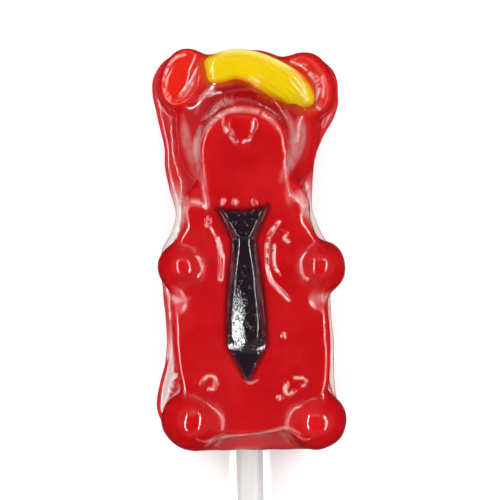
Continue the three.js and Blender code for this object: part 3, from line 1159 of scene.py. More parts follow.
@dataclass(frozen=True)
class RedJelly:
    """Clear red jelly, painted paler where it is thin, with painted glow, painted highlights and
    painted shade.
    """

    deep: Colour = (0.55, 0.0022, 0.006, 1)
    # the brighter red goes where the clouds are, and as a painted glow of light shining through the
    # jelly where it is thin
    bright_clouds_and_thin_glow: Colour = (0.64, 0.012, 0.016, 1)
    # painted glow in the ears' hollows, as light shining through them
    painted_ear_glow: Colour = (0.86, 0.030, 0.012, 1)
    # painted light shining through the thin flange: its pinkish edge and its pale middle; the pale
    # colour is also painted on the highlight streaks
    glow_rim: Colour = (0.66, 0.055, 0.062, 1)
    clear: Colour = (0.97, 0.91, 0.89, 1)
    # painted highlight along the crests of the welts and knobs
    line: Colour = (1.0, 0.74, 0.66, 1)
    hair_glow: Colour = (0.70, 0.085, 0.004, 1)
    # painted shade in the hollow between the brow and the hair
    shade: Colour = (0.38, 0.006, 0.012, 1)
    tie_shade: Colour = (0.16, 0.004, 0.010, 1)
    absorbs: Colour = (0.985, 0.14, 0.17, 1)
    density: float = 260.0
    clear_share: float = 0.5
    roughness: float = 0.06
    dulled: float = 0.5  # how much rougher the matt bands are
    speckled: float = 0.1  # and the specks
    slow_share: float = 0.7  # of the wide clouds in the body's colour
    fine_share: float = 0.3  # and of the fine ones
    broken: float = 0.7  # how much of a painted highlight streak comes and goes with the fine clouds
    rim_range: Range = (0.0, 0.5)  # of the flange's mask, for the painted see-through edge
    clear_range: Range = (0.5, 1.0)
    unbroken: float = 0.6  # and how much of it is everywhere
    gap_range: Range = (0.36, 0.46)  # the fine clouds that leave gaps in the painted highlight lines
    skin_depth: float = 0.0009
    coat: float = 0.5

    def material(self) -> bpy.types.Material:
        """Builds the material.

        Returns:
            The material.
        """
        finish = Finish("red jelly")
        sheet, place = finish.sheet, finish.place()
        clouds = finish.group(SharedGroups.clouds(), Vector=place, Cloud_Size=70.0)
        fine = finish.group(SharedGroups.clouds(), Vector=place, Cloud_Size=260.0, Speck_Size=900.0)
        cloud = sheet.scaled(clouds.outputs["Cloud"], self.slow_share)
        cloud = sheet.math("ADD", cloud, sheet.scaled(fine.outputs["Cloud"], self.fine_share))
        # thin jelly is painted brighter: a painted glow of light shining through it
        lit = sheet.math("MAXIMUM", cloud, finish.attribute("thinness"))
        colour = sheet.blend(lit, self.deep, self.bright_clouds_and_thin_glow)
        flange = finish.attribute("flange")
        broken = sheet.scaled(fine.outputs["Cloud"], self.broken, self.unbroken)
        gaps = sheet.spread(fine.outputs["Cloud"], *self.gap_range)
        # painted glow, painted see-through light, painted highlights and painted shade laid over
        # the body's colour, then the hair's and the tie's colour seen through the red
        layers = (
            (finish.attribute("shades"), self.shade), (finish.attribute("ear_painted_glow"), self.painted_ear_glow),
            (sheet.spread(flange, *self.rim_range), self.glow_rim),
            (sheet.spread(flange, *self.clear_range), self.clear),
            (sheet.scaled(finish.attribute("painted_highlights"), broken), self.clear),
            (sheet.scaled(finish.attribute("highlight_lines"), gaps), self.line),
            (finish.attribute("near_hair"), self.hair_glow),
            (finish.attribute("near_tie"), self.tie_shade),
        )
        for mask, over in layers:
            colour = sheet.blend(mask, colour, over)
        finish.drive("Base Color", colour)
        skin = finish.group(
            SharedGroups.wet_skin(), Vector=place, Swell_Size=110.0, Swell=1.0, Dent=0.12, Pit=0.02
        )
        finish.bump(skin.outputs["Height"], self.skin_depth)
        dull = finish.attribute("dull")
        rough = sheet.scaled(clouds.outputs["Speck"], self.speckled)
        rough = sheet.math("ADD", rough, sheet.scaled(dull, self.dulled))
        finish.drive("Roughness", sheet.math("ADD", rough, self.roughness))
        finish.drive("Coat Weight", sheet.scaled(sheet.math("SUBTRACT", 1.0, dull), self.coat))
        finish.plain(
            Transmission_Weight=self.clear_share,
            IOR=1.4,
            Coat_Roughness=0.02,
            Coat_IOR=1.45,
            Subsurface_Weight=1.0,
            Subsurface_Radius=(1.0, 0.12, 0.1),
            Subsurface_Scale=0.009,
        )
        absorption = sheet.add("ShaderNodeVolumeAbsorption")
        absorption.inputs["Color"].default_value = self.absorbs
        absorption.inputs["Density"].default_value = self.density
        sheet.link(absorption.outputs["Volume"], finish.output.inputs["Volume"])
        return finish.material


@dataclass(frozen=True)
class YellowJelly:
    """Cloudy yellow jelly, with a painted highlight along its upper edge."""

    lit: Colour = (0.52, 0.385, 0.0015, 1)
    deep: Colour = (0.51, 0.30, 0.003, 1)
    border: Colour = (0.50, 0.09, 0.003, 1)
    # painted highlight along the lobe's upper edge
    pale: Colour = (0.66, 0.56, 0.14, 1)
    clouded: float = 0.35  # how far its clouds go from the lit to the deep yellow
    skin_depth: float = 0.0004
    roughness: float = 0.08
    speckled: float = 0.12  # how much rougher the specks are

    def material(self) -> bpy.types.Material:
        """Builds the material.

        Returns:
            The material.
        """
        finish = Finish("yellow jelly")
        sheet, place = finish.sheet, finish.place()
        clouds = finish.group(SharedGroups.clouds(), Vector=place, Cloud_Size=160.0)
        mixed = sheet.scaled(clouds.outputs["Cloud"], self.clouded)
        colour = sheet.blend(mixed, self.lit, self.deep)
        colour = sheet.blend(finish.attribute("sunk"), colour, self.border)
        # the painted highlight along the upper edge
        colour = sheet.blend(finish.attribute("pale"), colour, self.pale)
        finish.drive("Base Color", colour)
        skin = finish.group(
            SharedGroups.wet_skin(), Vector=place, Swell_Size=250.0, Dent_Size=900.0, Dent=0.3,
            Pit=0.1,
        )
        finish.bump(skin.outputs["Height"], self.skin_depth)
        rough = sheet.scaled(clouds.outputs["Speck"], self.speckled, self.roughness)
        finish.drive("Roughness", rough)
        finish.plain(
            Subsurface_Weight=0.6,
            Subsurface_Radius=(1.0, 0.6, 0.05),
            Subsurface_Scale=0.002,
            IOR=1.38,
        )
        return finish.material


@dataclass(frozen=True)
class BlackJelly:
    """Black jelly with a pitted gloss, maroon where its edge sinks into the red."""

    face: Colour = (0.008, 0.0035, 0.007, 1)
    edge: Colour = (0.06, 0.006, 0.01, 1)
    fleck_height: float = 3.2  # of a fleck, where the skin's grain is 1
    skin_depth: float = 0.00005
    roughness: float = 0.07
    speckled: float = 0.08  # how much rougher the specks are

    def material(self) -> bpy.types.Material:
        """Builds the material.

        Returns:
            The material.
        """
        finish = Finish("black jelly")
        sheet, place = finish.sheet, finish.place()
        clouds = finish.group(
            SharedGroups.clouds(), Vector=place, Cloud_Size=300.0, Speck_Size=1500.0,
            Speck_Share=0.5,
        )
        colour = sheet.blend(finish.attribute("sunk"), self.face, self.edge)
        finish.drive("Base Color", colour)
        skin = finish.group(
            SharedGroups.wet_skin(), Vector=place, Swell_Size=260.0, Swell=0.3, Dent_Size=1500.0,
            Dent=0.9, Pit_Size=2600.0, Pit=0.6,
        )
        height = sheet.scaled(skin.outputs["Height"], finish.attribute("grain"))
        flecks = finish.group(
            SharedGroups.clouds(), Vector=place, Speck_Size=900.0, Speck_Share=0.62
        )
        raised = sheet.scaled(flecks.outputs["Speck"], finish.attribute("flecks"))
        raised = sheet.scaled(raised, self.fleck_height)
        finish.bump(sheet.math("ADD", height, raised), self.skin_depth)
        rough = sheet.scaled(clouds.outputs["Speck"], self.speckled, self.roughness)
        finish.drive("Roughness", rough)
        finish.plain(IOR=1.75)
        return finish.material


@dataclass(frozen=True)
class WhitePaper:
    """The smooth rolled paper of the stick."""

    light: Colour = (0.50, 0.495, 0.485, 1)
    shade: Colour = (0.46, 0.455, 0.445, 1)
    drawn_out: Place = (1.0, 0.06, 1.0)  # the fibres run along the stick
    fibre_depth: float = 0.00003
    roughness: float = 0.5
    uneven: float = 0.15  # how much rougher the fibres are

    def material(self) -> bpy.types.Material:
        """Builds the material.

        Returns:
            The material.
        """
        finish = Finish("white paper")
        sheet = finish.sheet
        stretch = sheet.add("ShaderNodeMapping")
        stretch.inputs["Scale"].default_value = self.drawn_out
        sheet.link(finish.place(), stretch.inputs["Vector"])
        clouds = finish.group(
            SharedGroups.clouds(), Vector=stretch.outputs["Vector"], Cloud_Size=900.0
        )
        colour = sheet.blend(clouds.outputs["Cloud"], self.light, self.shade)
        finish.drive("Base Color", colour)
        rough = sheet.scaled(clouds.outputs["Cloud"], self.uneven, self.roughness)
        finish.drive("Roughness", rough)
        finish.bump(clouds.outputs["Cloud"], self.fibre_depth)
        finish.plain(Subsurface_Weight=0.1, Subsurface_Scale=0.001)
        return finish.material


@dataclass(frozen=True)
class PaleFloor:
    """The plain pale floor."""

    colour: Colour = (0.9, 0.9, 0.9, 1)

    def material(self) -> bpy.types.Material:
        """Builds the material.

        Returns:
            The material.
        """
        finish = Finish("pale floor")
        finish.plain(Base_Color=self.colour, Roughness=0.9, Specular_IOR_Level=0.1)
        return finish.material


# ---- Pieces ----


@dataclass(frozen=True)
class Streak:
    """A soft mark on the jelly's front along points (x, y, width, strength), used for painted
    highlights, painted shade and matt bands.
    """

    points: tuple[Knot, ...]

    def near(self, p: Array) -> Array:
        """Draws the mark.

        Args:
            p: The points.

        Returns:
            How much of it shows at each, from 0 to 1.
        """
        line = smooth_line(self.points, STREAK_STEPS)
        shown = np.zeros(len(p))
        for a, b in zip(line[:-1], line[1:]):
            share, gap = to_segment(p[:, :2], a[:2], b[:2])
            width, strength = a[2] + share * (b[2] - a[2]), a[3] + share * (b[3] - a[3])
            faded = ease(*STREAK_FADE, gap / np.maximum(width, STREAK_LEAST))
            shown = np.maximum(shown, strength * (1 - faded))
        return shown

    @classmethod
    def along(cls, places: tuple[Spot, ...], width: float, strength: float) -> "Streak":
        """A mark of one width and strength through these places."""
        return cls(tuple((x, y, width, strength) for x, y in places))


@dataclass(frozen=True)
class FlangeGlow:
    """Where the thin flange of the back half is painted pale, as light shining through it: ranges
    in millimetres.
    """

    clear_ys: tuple[float, ...] = (-56, -50, -44, -36, -22, -14, -4, 3, 9, 15, 24, 56)
    clear_left: tuple[float, ...] = (0.8, 1.0, 1.0, 1.0, 0.6, 0.5, 0.8, 1.0, 1.0, 0.8, 0.45, 0.35)
    clear_right: tuple[float, ...] = (0.5, 0.6, 0.9, 1.0, 0.9, 0.8, 0.9, 1.0, 1.0, 0.8, 0.40, 0.3)
    judged_over_seam: float = 1.5  # how high the distance to the front half is taken
    outside: Range = (-0.1, 0.8)  # the distance to the front half
    raised: Range = (6.0, 8.0)
    facing: Range = (0.1, 0.5)  # z of the normal
    past_seam: Range = (0.2, 1.6)
    border: Range = (-1.1, -0.6)  # from the flange's own edge, which is red at the lower left
    border_below: Range = (-29.0, -33.0)
    border_share: float = 0.8
    rim_slant: float = 0.13  # of the painted paler rim between the feet, where light shines through
    rim_below: Range = (-50.8, -51.8)
    rim_from: Range = (13.0, 15.0)
    rim_to: Range = (21.0, 23.0)
    rim_half: Range = (15.0, 19.0)
    rim_middle: float = 1.0
    rim_share: float = 0.5

    def shown(self, form: JellyForm, p: Array, upward: Array) -> Array:
        """How pale the flange is painted.

        Args:
            form: The bear's form.
            p: The points.
            upward: The z of the normal at each of them.

        Returns:
            A share for each point, from 0 to 1.
        """
        x, y, z = p.T
        over, level = p.copy(), p.copy()
        over[:, 2], level[:, 2] = form.seam + self.judged_over_seam, form.back.middle
        flange = ease(*self.outside, form.front(over)) * ease(*self.raised, z)
        flange *= ease(*self.facing, upward)
        flange *= 1 - ease(*self.past_seam, z - form.seam)
        left = smooth_table(self.clear_ys, self.clear_left, y)
        right = smooth_table(self.clear_ys, self.clear_right, y)
        flange = flange * np.where(x < 0, left, right)
        border = ease(*self.border, form.back.distance(level)) * ease(*self.border_below, y)
        flange *= 1 - self.border_share * border * (x < 0)
        glow_rim = ease(*self.rim_below, y - self.rim_slant * x)
        glow_rim = glow_rim * ease(*self.rim_from, z) * (1 - ease(*self.rim_to, z))
        glow_rim *= 1 - ease(*self.rim_half, np.abs(x - self.rim_middle))
        return np.maximum(flange, self.rim_share * glow_rim)


@dataclass
class Bear:
    """The red jelly bear."""

    form: JellyForm = field(default_factory=JellyForm)
    coarse: float = 1.1  # cell of the first fusing
    fine: float = 0.69  # cell of the last fusing
    turns: int = 3  # how often the points are moved onto the form each time
    reaches: tuple[float, ...] = (2.0, 1.0, 0.6, 0.3)  # and how far they go in one turn
    refined_above: float = 19.0  # the front's faces above this are divided once more
    refined_facing: float = 0.45  # where the z of their normals is over this
    mark_reach: float = 0.9  # how near a small mark a face is divided again, see by_marks
    over_muzzle: int = 2  # the painted highlight streak along which faces are divided again
    muzzle_shown: float = 0.02  # where it is stronger than this
    line_highlight: tuple[float, float] = (0.48, 0.9)  # width and strength of the painted highlight lines along the welts
    knob_highlight: tuple[float, float] = (0.6, 0.7)  # and of the painted highlight spots on the knobs
    marks_face: Range = (-0.2, 0.2)  # the z of the normals where marks fade out
    swell: float = 0.16  # unevenness of the moulded surface
    swell_share: float = 0.4  # how much of it each wave adds
    swell_waves: tuple[float, ...] = (17.0, 13.0, 11.0, 9.0, 7.5, 6.5)
    swell_mean: float = 11.0  # the wavelength that has just that height
    swell_seed: int = 11
    swell_lifted: Range = (0.2, 2.5)  # the heights over which it sets in
    thin_from: float = 30.0  # the jelly is painted brighter, a painted glow of light shining through it, where it is thinner than this
    thin_to: float = 10.0
    thin_cell: float = 1.0  # of the grid in which its thickness is taken
    ear_fade: Range = (-0.5, 3.0)  # the distance over which the painted glow in an ear's hollow fades
    # where the thin flange is painted pale, as light shining through it
    flange: FlangeGlow = FlangeGlow()
    hair_glow: float = 1.8  # how far the hair's colour is seen through the red
    tie_shade: float = 1.4  # and the tie's
    # painted highlights: pale painted bands and streaks where the jelly catches the light
    painted_highlights: tuple[Streak, ...] = (
        Streak((
            (-12.4, 38.6, 0.6, 0.1), (-11.0, 42.6, 0.9, 0.30), (-7.6, 45.8, 0.9, 0.32),
            (-2.2, 46.8, 0.8, 0.2),
        )),
        Streak((
            (-10.6, 36.6, 0.7, 0.1), (-6.9, 40.1, 1.0, 0.34), (-4.3, 41.4, 1.1, 0.42),
            (-1.1, 42.1, 0.7, 0.1),
        )),
        Streak((
            (-10.9, 30.5, 0.9, 0.1), (-9.2, 34.4, 1.1, 0.40), (-5.3, 37.4, 1.2, 0.60),
            (-1.0, 38.4, 1.2, 0.55), (4.9, 37.5, 1.0, 0.40), (8.8, 34.9, 0.9, 0.2),
            (11.2, 31.0, 0.8, 0.05),
        )),
        Streak((
            (-11.2, 34.6, 1.0, 0.2), (-12.6, 29.6, 1.8, 0.36), (-12.2, 24.0, 1.6, 0.26),
            (-10.9, 18.0, 0.9, 0.06),
        )),
        Streak((
            (-16.2, 38.6, 0.8, 0.1), (-15.4, 31.6, 2.2, 0.26), (-13.6, 23.0, 1.4, 0.14),
            (-12.6, 20.0, 0.9, 0.0),
        )),
        Streak((
            (13.9, 35.0, 0.8, 0.1), (15.0, 29.6, 2.3, 0.38), (13.6, 24.2, 2.2, 0.30),
            (10.6, 18.6, 1.2, 0.08),
        )),
        Streak((
            (17.6, 36.4, 0.7, 0.1), (17.2, 30.4, 1.3, 0.26), (15.2, 24.6, 1.0, 0.16),
            (12.6, 20.6, 0.7, 0.0),
        )),
        Streak(((-16.0, 14.6, 1.6, 0.30), (-17.6, 9.0, 2.2, 0.50), (-19.0, 4.6, 1.6, 0.40))),
        Streak(((16.0, 15.0, 2.0, 0.35), (18.6, 10.0, 2.6, 0.65), (21.0, 5.4, 1.8, 0.50))),
        Streak((
            (-22.5, -10.6, 0.9, 0.2), (-20.4, -12.8, 1.4, 0.45), (-17.6, -13.2, 1.2, 0.3),
            (-15.0, -12.8, 0.8, 0.0),
        )),
        Streak(((26.0, -11.4, 0.9, 0.3), (22.8, -13.6, 1.8, 0.5), (19.0, -13.6, 1.0, 0.1))),
        Streak(((-0.9, -35.7, 0.5, 0.15), (1.0, -36.5, 0.6, 0.45), (2.9, -35.7, 0.5, 0.15))),
        Streak((
            (-12.3, -54.2, 0.6, 0.2), (-9.5, -52.2, 0.6, 0.5), (-5.3, -51.8, 0.6, 0.45),
            (0.4, -51.1, 0.6, 0.5), (6.0, -50.4, 0.8, 0.65), (10.2, -49.2, 0.7, 0.5),
            (14.0, -50.6, 0.6, 0.3),
        )),
    )
    # painted shade in the hollow between the brow and the hair
    shades: tuple[Streak, ...] = (
        Streak((
            (-9.8, 39.0, 1.6, 0.3), (-6.4, 43.2, 3.4, 0.75), (0.0, 44.6, 3.6, 0.8),
            (6.4, 42.0, 3.2, 0.7), (10.6, 38.0, 2.4, 0.5), (13.0, 34.6, 1.6, 0.2),
        )),
    )
    dulls: tuple[Streak, ...] = (
        Streak((
            (-20.0, -9.0, 1.6, 0.4), (-17.8, -13.6, 3.0, 1.0), (-20.2, -18.5, 1.8, 0.5),
            (-20.0, -26.0, 1.8, 0.5), (-18.8, -35.0, 1.8, 0.5),
        )),
        Streak((
            (22.6, -9.0, 1.6, 0.4), (19.6, -13.6, 3.0, 1.0), (23.0, -18.5, 1.8, 0.5),
            (23.0, -26.0, 1.8, 0.5), (21.6, -36.0, 1.8, 0.5),
        )),
        Streak((
            (-9.6, 20.2, 1.4, 0.2), (-11.2, 26.6, 1.6, 0.5), (-9.6, 33.0, 1.6, 0.5),
            (0.8, 39.4, 1.6, 0.4), (11.2, 33.0, 1.6, 0.5), (12.8, 26.6, 1.6, 0.5),
            (11.2, 20.2, 1.4, 0.2),
        )),
        Streak((
            (-11.0, 25.0, 1.2, 0.3), (-10.6, 20.0, 1.6, 0.6), (-10.0, 15.0, 1.6, 0.6),
            (-9.4, 12.0, 1.4, 0.4),
        )),
        Streak((
            (12.8, 25.0, 1.2, 0.3), (12.4, 20.0, 1.6, 0.6), (12.4, 15.0, 1.6, 0.6),
            (13.0, 12.0, 1.4, 0.4),
        )),
        Streak((
            (12.6, 38.5, 1.4, 0.6), (14.2, 34.0, 2.2, 1.0), (14.4, 30.4, 2.2, 1.0),
            (16.2, 36.5, 1.6, 0.6),
        )),
        Streak((
            (-10.5, 12.8, 1.6, 0.4), (-13.6, 13.4, 2.2, 0.6), (-15.6, 12.0, 2.0, 0.5),
            (-15.6, 8.6, 1.6, 0.4),
        )),
        Streak((
            (12.6, 19.0, 1.4, 0.5), (13.4, 14.6, 2.2, 0.6), (16.2, 13.0, 2.0, 0.5),
            (17.0, 9.0, 1.6, 0.4),
        )),
        Streak((
            (-12.6, 0.4, 1.4, 0.3), (-11.2, -3.0, 1.8, 0.5), (-11.6, -7.0, 1.8, 0.5),
            (-13.0, -10.0, 1.4, 0.3),
        )),
        Streak((
            (15.8, -0.4, 1.4, 0.3), (14.8, -4.2, 1.8, 0.5), (15.4, -8.0, 1.8, 0.5),
            (17.0, -11.0, 1.4, 0.3),
        )),
        Streak((
            (-12.4, -40.6, 1.6, 0.4), (-9.0, -42.6, 2.0, 0.5), (-7.2, -46.0, 2.0, 0.5),
            (-7.4, -50.4, 1.6, 0.4),
        )),
        Streak((
            (15.8, -42.0, 1.6, 0.4), (12.0, -43.8, 2.0, 0.5), (10.6, -47.4, 2.0, 0.5),
            (10.8, -50.6, 1.6, 0.4),
        )),
        Streak(((-17.0, 41.6, 1.2, 0.4), (-12.0, 42.8, 1.6, 0.8), (-7.4, 44.4, 1.2, 0.5))),
    )

    def build(self, hair: Object, tie: Object) -> Object:
        """Fuses the lumps into one body and dresses it.

        Args:
            hair: The yellow lobe that is set into it.
            tie: The black tie that is set into it.

        Returns:
            The finished bear.
        """
        blanks = [self.form.back.blank()] + [lump.blank() for lump in self.form.blocks()]
        take(*blanks)
        bpy.ops.object.join()
        bear = named("jelly_bear")
        coarsely, finely, on_front, by_marks = self.reaches
        apply_modifier(bear, "REMESH", mode="VOXEL", voxel_size=self.coarse * MM)
        self.form.settle(bear, self.turns, coarsely)
        apply_modifier(bear, "REMESH", mode="VOXEL", voxel_size=self.fine * MM)
        self.form.settle(bear, self.turns, finely)
        self.refine(bear, self.on_front)
        self.form.settle(bear, self.turns, on_front)
        self.refine(bear, self.by_marks)
        self.form.settle(bear, self.turns, by_marks)
        self.roughen(bear)
        # how thin the jelly is, for its painted glow
        self.mark_thin(bear)
        p, upward = mesh_points(bear), mesh_normals(bear)[:, 2]
        # the thin flange, painted pale as light shining through it
        point_attribute(bear, "flange", self.flange.shown(self.form, p, upward))
        # painted glow in the ears' hollows
        hollow = np.min([lump.distance(p) for lump in self.form.ear_dishes], axis=0)
        point_attribute(bear, "ear_painted_glow", 1 - ease(*self.ear_fade, hollow))
        shown = ease(*self.marks_face, upward)
        # painted highlight lines along the welts and on the knobs' crests
        highlight_lines = tuple(Streak.along(welt.places, *self.line_highlight) for welt in self.form.all_welts())
        highlight_lines += tuple(Streak.along(knob.crest(), *self.knob_highlight) for knob in self.form.knobs)
        kinds = {"painted_highlights": self.painted_highlights, "highlight_lines": highlight_lines, "shades": self.shades, "dull": self.dulls}
        for name, marks in kinds.items():
            point_attribute(bear, name, np.max([mark.near(p) for mark in marks], axis=0) * shown)
        self.mark_near(bear, hair, "near_hair", self.hair_glow)
        self.mark_near(bear, tie, "near_tie", self.tie_shade)
        dress(bear, RedJelly().material())
        bpy.ops.object.shade_smooth()
        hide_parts(Node.BEAR.value)
        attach(bear, "root")
        LOG.info("bear: %d faces", len(bear.data.polygons))
        return bear

    def on_front(self, centres: Array, normals: Array) -> Array:
        """Whether each face is on the bear's upper front, from its centre and its normal."""
        return (normals[:, 2] > self.refined_facing) & (centres[:, 2] > self.refined_above)

    def by_marks(self, centres: Array, normals: Array) -> Array:
        """Whether each face lies where the row frame has a small mark's own x, y and z.

        The row frame's y is about 47 mm ahead of the bear's own, so this falls on faces that far
        below the marks and below the band over the muzzle, and not on theirs.

        Args:
            centres: The faces' centres.
            normals: Their normals, which aren't used.

        Returns:
            A choice for each face.
        """
        near = self.form.near_mark(centres, self.mark_reach)
        return near | (self.painted_highlights[self.over_muzzle].near(centres) > self.muzzle_shown)

    def refine(self, bear: Object, chosen: Callable[[Array, Array], Array]) -> None:
        """Divides some of the bear's faces once more.

        Args:
            bear: The bear.
            chosen: Tells which ones, from their centres, in millimetres in the row frame, and
                their normals.
        """
        centres, normals = face_values(bear, "center") / MM, face_values(bear, "normal")
        edit_faces(bear, chosen(centres, normals))
        bpy.ops.mesh.subdivide(number_cuts=1)
        bpy.ops.object.mode_set(mode="OBJECT")

    def roughen(self, bear: Object) -> None:
        """Adds the unevenness of soft jelly.

        Args:
            bear: The bear.
        """
        p, normals = mesh_points(bear), mesh_normals(bear)
        random = np.random.default_rng(self.swell_seed)
        swell = np.zeros(len(p))
        for wave in self.swell_waves:
            direction = random.normal(size=3)
            direction *= 2 * math.pi / wave / np.linalg.norm(direction)
            swell += np.sin(p @ direction + random.uniform(0, 2 * math.pi)) * wave / self.swell_mean
        lifted = ease(*self.swell_lifted, p[:, 2])
        p += normals * (self.swell * self.swell_share * swell * lifted)[:, None]
        p[:, 2] = np.maximum(p[:, 2], 0.0)
        place_points(bear, p)

    def mark_near(self, bear: Object, other: Object, name: str, reach: float) -> None:
        """Keeps on each vertex how near the jelly is to a piece set into it.

        Args:
            bear: The bear.
            other: The piece.
            name: The attribute's name.
            reach: How far its colour is seen through the jelly, in millimetres.
        """
        tree = BVHTree.FromPolygons(
            [v.co for v in other.data.vertices], [p.vertices for p in other.data.polygons]
        )
        near = np.zeros(len(bear.data.vertices))
        for vertex in bear.data.vertices:
            place, normal, _, gap = tree.find_nearest(vertex.co, reach * MM)
            if place is None:
                continue
            inside = (vertex.co - place).dot(normal) < 0
            near[vertex.index] = 1 if inside else 1 - gap / (reach * MM)
        point_attribute(bear, name, ease(0.0, 1.0, near))

    def mark_thin(self, bear: Object) -> None:
        """Keeps on each vertex how thin the jelly is there, seen from above.

        Args:
            bear: The bear.
        """
        p = mesh_points(bear)
        column = np.floor((p[:, :2] - p[:, :2].min(0)) / self.thin_cell).astype(int)
        shape = column.max(0) + 1
        top = np.zeros(shape)
        np.maximum.at(top, (column[:, 0], column[:, 1]), p[:, 2])
        bottom = np.full(shape, self.form.highest)
        np.minimum.at(bottom, (column[:, 0], column[:, 1]), p[:, 2])
        thickness = np.clip(top - bottom, 0, None)
        padded = np.pad(thickness, 1)
        soft = sum(
            padded[1 + i : padded.shape[0] - 1 + i, 1 + j : padded.shape[1] - 1 + j]
            for i in (-1, 0, 1)
            for j in (-1, 0, 1)
        ) / 9
        thin = 1 - ease(self.thin_to, self.thin_from, soft[column[:, 0], column[:, 1]])
        point_attribute(bear, "thinness", thin)


@dataclass
class Hair:
    """The swept lobe of yellow jelly over the forehead."""

    stations: tuple[Knot, ...] = (
        (-10.8, 50.2, 20.0, 4.3), (-6.2, 50.7, 21.0, 4.6), (-1.0, 51.7, 21.3, 4.5),
        (3.8, 50.7, 21.5, 4.8), (7.4, 48.7, 21.9, 5.2), (10.9, 46.7, 22.2, 5.3),
        (14.4, 44.6, 22.0, 5.0), (16.9, 41.8, 20.9, 4.5), (17.7, 38.6, 19.9, 3.6),
    )
    half_thickness: float = 2.7
    squareness: float = 2.1
    steps_along: int = 70
    steps_around: int = 48
    locks: float = 6.5
    groove: float = 0.30
    end_squareness: float = 8.0
    step: float = 0.3  # between the rings as they are drawn out
    least_full: float = 0.001  # keeps the square root at the lobe's ends above 0
    ahead: float = 0.01  # the share of the line over which its direction is taken
    cell: float = 0.4  # of the mesh that the lobe is fused to
    smoothing: float = 0.5  # and how strongly and how often that is smoothed
    smoothings: int = 3
    samples: int = 200  # of the line when it is combed
    drift: float = 0.9  # how far the locks run across the lobe
    border_side: Range = (0.60, 1.0)  # shares of the half width
    border_end: Range = (0.84, 1.0)  # and of the half length
    border_under: Range = (0.3, -0.3)  # and the z of the normals
    highlight_side: Range = (0.55, 0.95)  # of the painted highlight along the upper edge
    highlight_starts: Range = (0.08, 0.25)  # shares of the length
    highlight_stops: Range = (0.55, 0.8)
    locks_start: Range = (0.1, 0.35)
    locks_stop: Range = (0.72, 0.9)

    def build(self, form: JellyForm) -> Object:
        """Draws a round section out along the lobe's line and dresses it.

        Args:
            form: The bear that the lobe is set into.

        Returns:
            The finished hair.
        """
        deselect_all()
        start = to_row(np.array(self.stations[0][:3]))
        bpy.ops.mesh.primitive_circle_add(
            vertices=self.steps_around, radius=self.half_thickness * MM, fill_type="NGON",
            location=start, rotation=(0, math.radians(90), 0),
        )
        hair = named("hair_lobe")
        apply_place(hair)
        edit_all()
        step = (self.step * MM, 0, 0)
        for _ in range(self.steps_along):
            bpy.ops.mesh.extrude_region_move(TRANSFORM_OT_translate={"value": step})
        bpy.ops.object.mode_set(mode="OBJECT")
        place_points(hair, self.shaped(mesh_points(hair)))
        apply_modifier(hair, "REMESH", mode="VOXEL", voxel_size=self.cell * MM)
        apply_modifier(hair, "SMOOTH", factor=self.smoothing, iterations=self.smoothings)
        self.comb(hair)
        dress(hair, YellowJelly().material())
        bpy.ops.object.shade_smooth()
        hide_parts(Node.HAIR.value)
        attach(hair, "root")
        LOG.info("hair: %d faces", len(hair.data.polygons))
        return hair

    def line(self, share: Array) -> Array:
        """Follows the lobe's line.

        Args:
            share: How far along it, from 0 to 1.

        Returns:
            Its middle and half width there, as (x, y, z, half width).
        """
        knots = np.array(self.stations)
        t = np.linspace(0, 1, len(knots))
        return np.stack([smooth_table(t, knots[:, k], share) for k in range(LINE_VALUES)], axis=1)

    def shaped(self, points: Array) -> Array:
        """Moves each ring of the drawn-out circle to its place on the lobe.

        Args:
            points: The points of all the rings.

        Returns:
            Where each of them goes.
        """
        x0 = points[:, 0].min()
        ring = np.round((points[:, 0] - x0) / self.step).astype(int)
        share = ring / self.steps_along
        middle = self.line(share)
        ahead = self.line(np.minimum(share + self.ahead, 1))
        along = (ahead - self.line(np.maximum(share - self.ahead, 0)))[:, :2]
        along /= np.linalg.norm(along, axis=1)[:, None]
        across = np.stack([-along[:, 1], along[:, 0]], axis=1)
        first = np.array(self.stations[0][:3])
        side = (points[:, 1] - first[1]) / self.half_thickness
        up = (points[:, 2] - first[2]) / self.half_thickness
        power = 2 / self.squareness
        side, up = np.sign(side) * np.abs(side) ** power, np.sign(up) * np.abs(up) ** power
        full = np.sqrt(np.maximum(1 - (2 * share - 1) ** self.end_squareness, self.least_full))
        out = np.empty_like(points)
        out[:, :2] = middle[:, :2] + across * (side * middle[:, 3] * full)[:, None]
        out[:, 2] = middle[:, 2] + up * self.half_thickness * full
        return out

    def comb(self, hair: Object) -> None:
        """Draws the grooves between the locks, and marks the lobe's borders and the painted
        highlight along its upper edge.

        Args:
            hair: The hair.
        """
        points, normals = mesh_points(hair), mesh_normals(hair)
        fine = self.line(np.linspace(0, 1, self.samples))
        gaps = ((points[:, None, :2] - fine[None, :, :2]) ** 2).sum(2)
        nearest = gaps.argmin(1)
        share = nearest / (self.samples - 1)
        tangent = np.gradient(fine[:, :2], axis=0)[nearest]
        tangent /= np.linalg.norm(tangent, axis=1)[:, None]
        offset = points[:, :2] - fine[nearest, :2]
        side = (tangent[:, 0] * offset[:, 1] - tangent[:, 1] * offset[:, 0]) / fine[nearest, 3]
        from_end = 2 * np.abs(share - 0.5)
        border = np.maximum(ease(*self.border_side, np.abs(side)), ease(*self.border_end, from_end))
        # the painted highlight along the upper edge
        top_highlight = ease(*self.highlight_side, side) * ease(*self.highlight_starts, share)
        top_highlight = top_highlight * (1 - ease(*self.highlight_stops, share))
        border = np.maximum(border, ease(*self.border_under, normals[:, 2])) * (1 - top_highlight)
        point_attribute(hair, "sunk", border)
        point_attribute(hair, "pale", top_highlight)
        drift = self.drift * (share - 0.5)
        lock = np.abs(np.sin(self.locks * math.pi * (side + drift + 1) / 2))
        shown = ease(*self.locks_start, share) * (1 - ease(*self.locks_stop, share))
        shown = shown * np.clip(normals[:, 2], 0, 1)
        points -= normals * (self.groove * (1 - lock) ** 2 * shown)[:, None]
        place_points(hair, points)


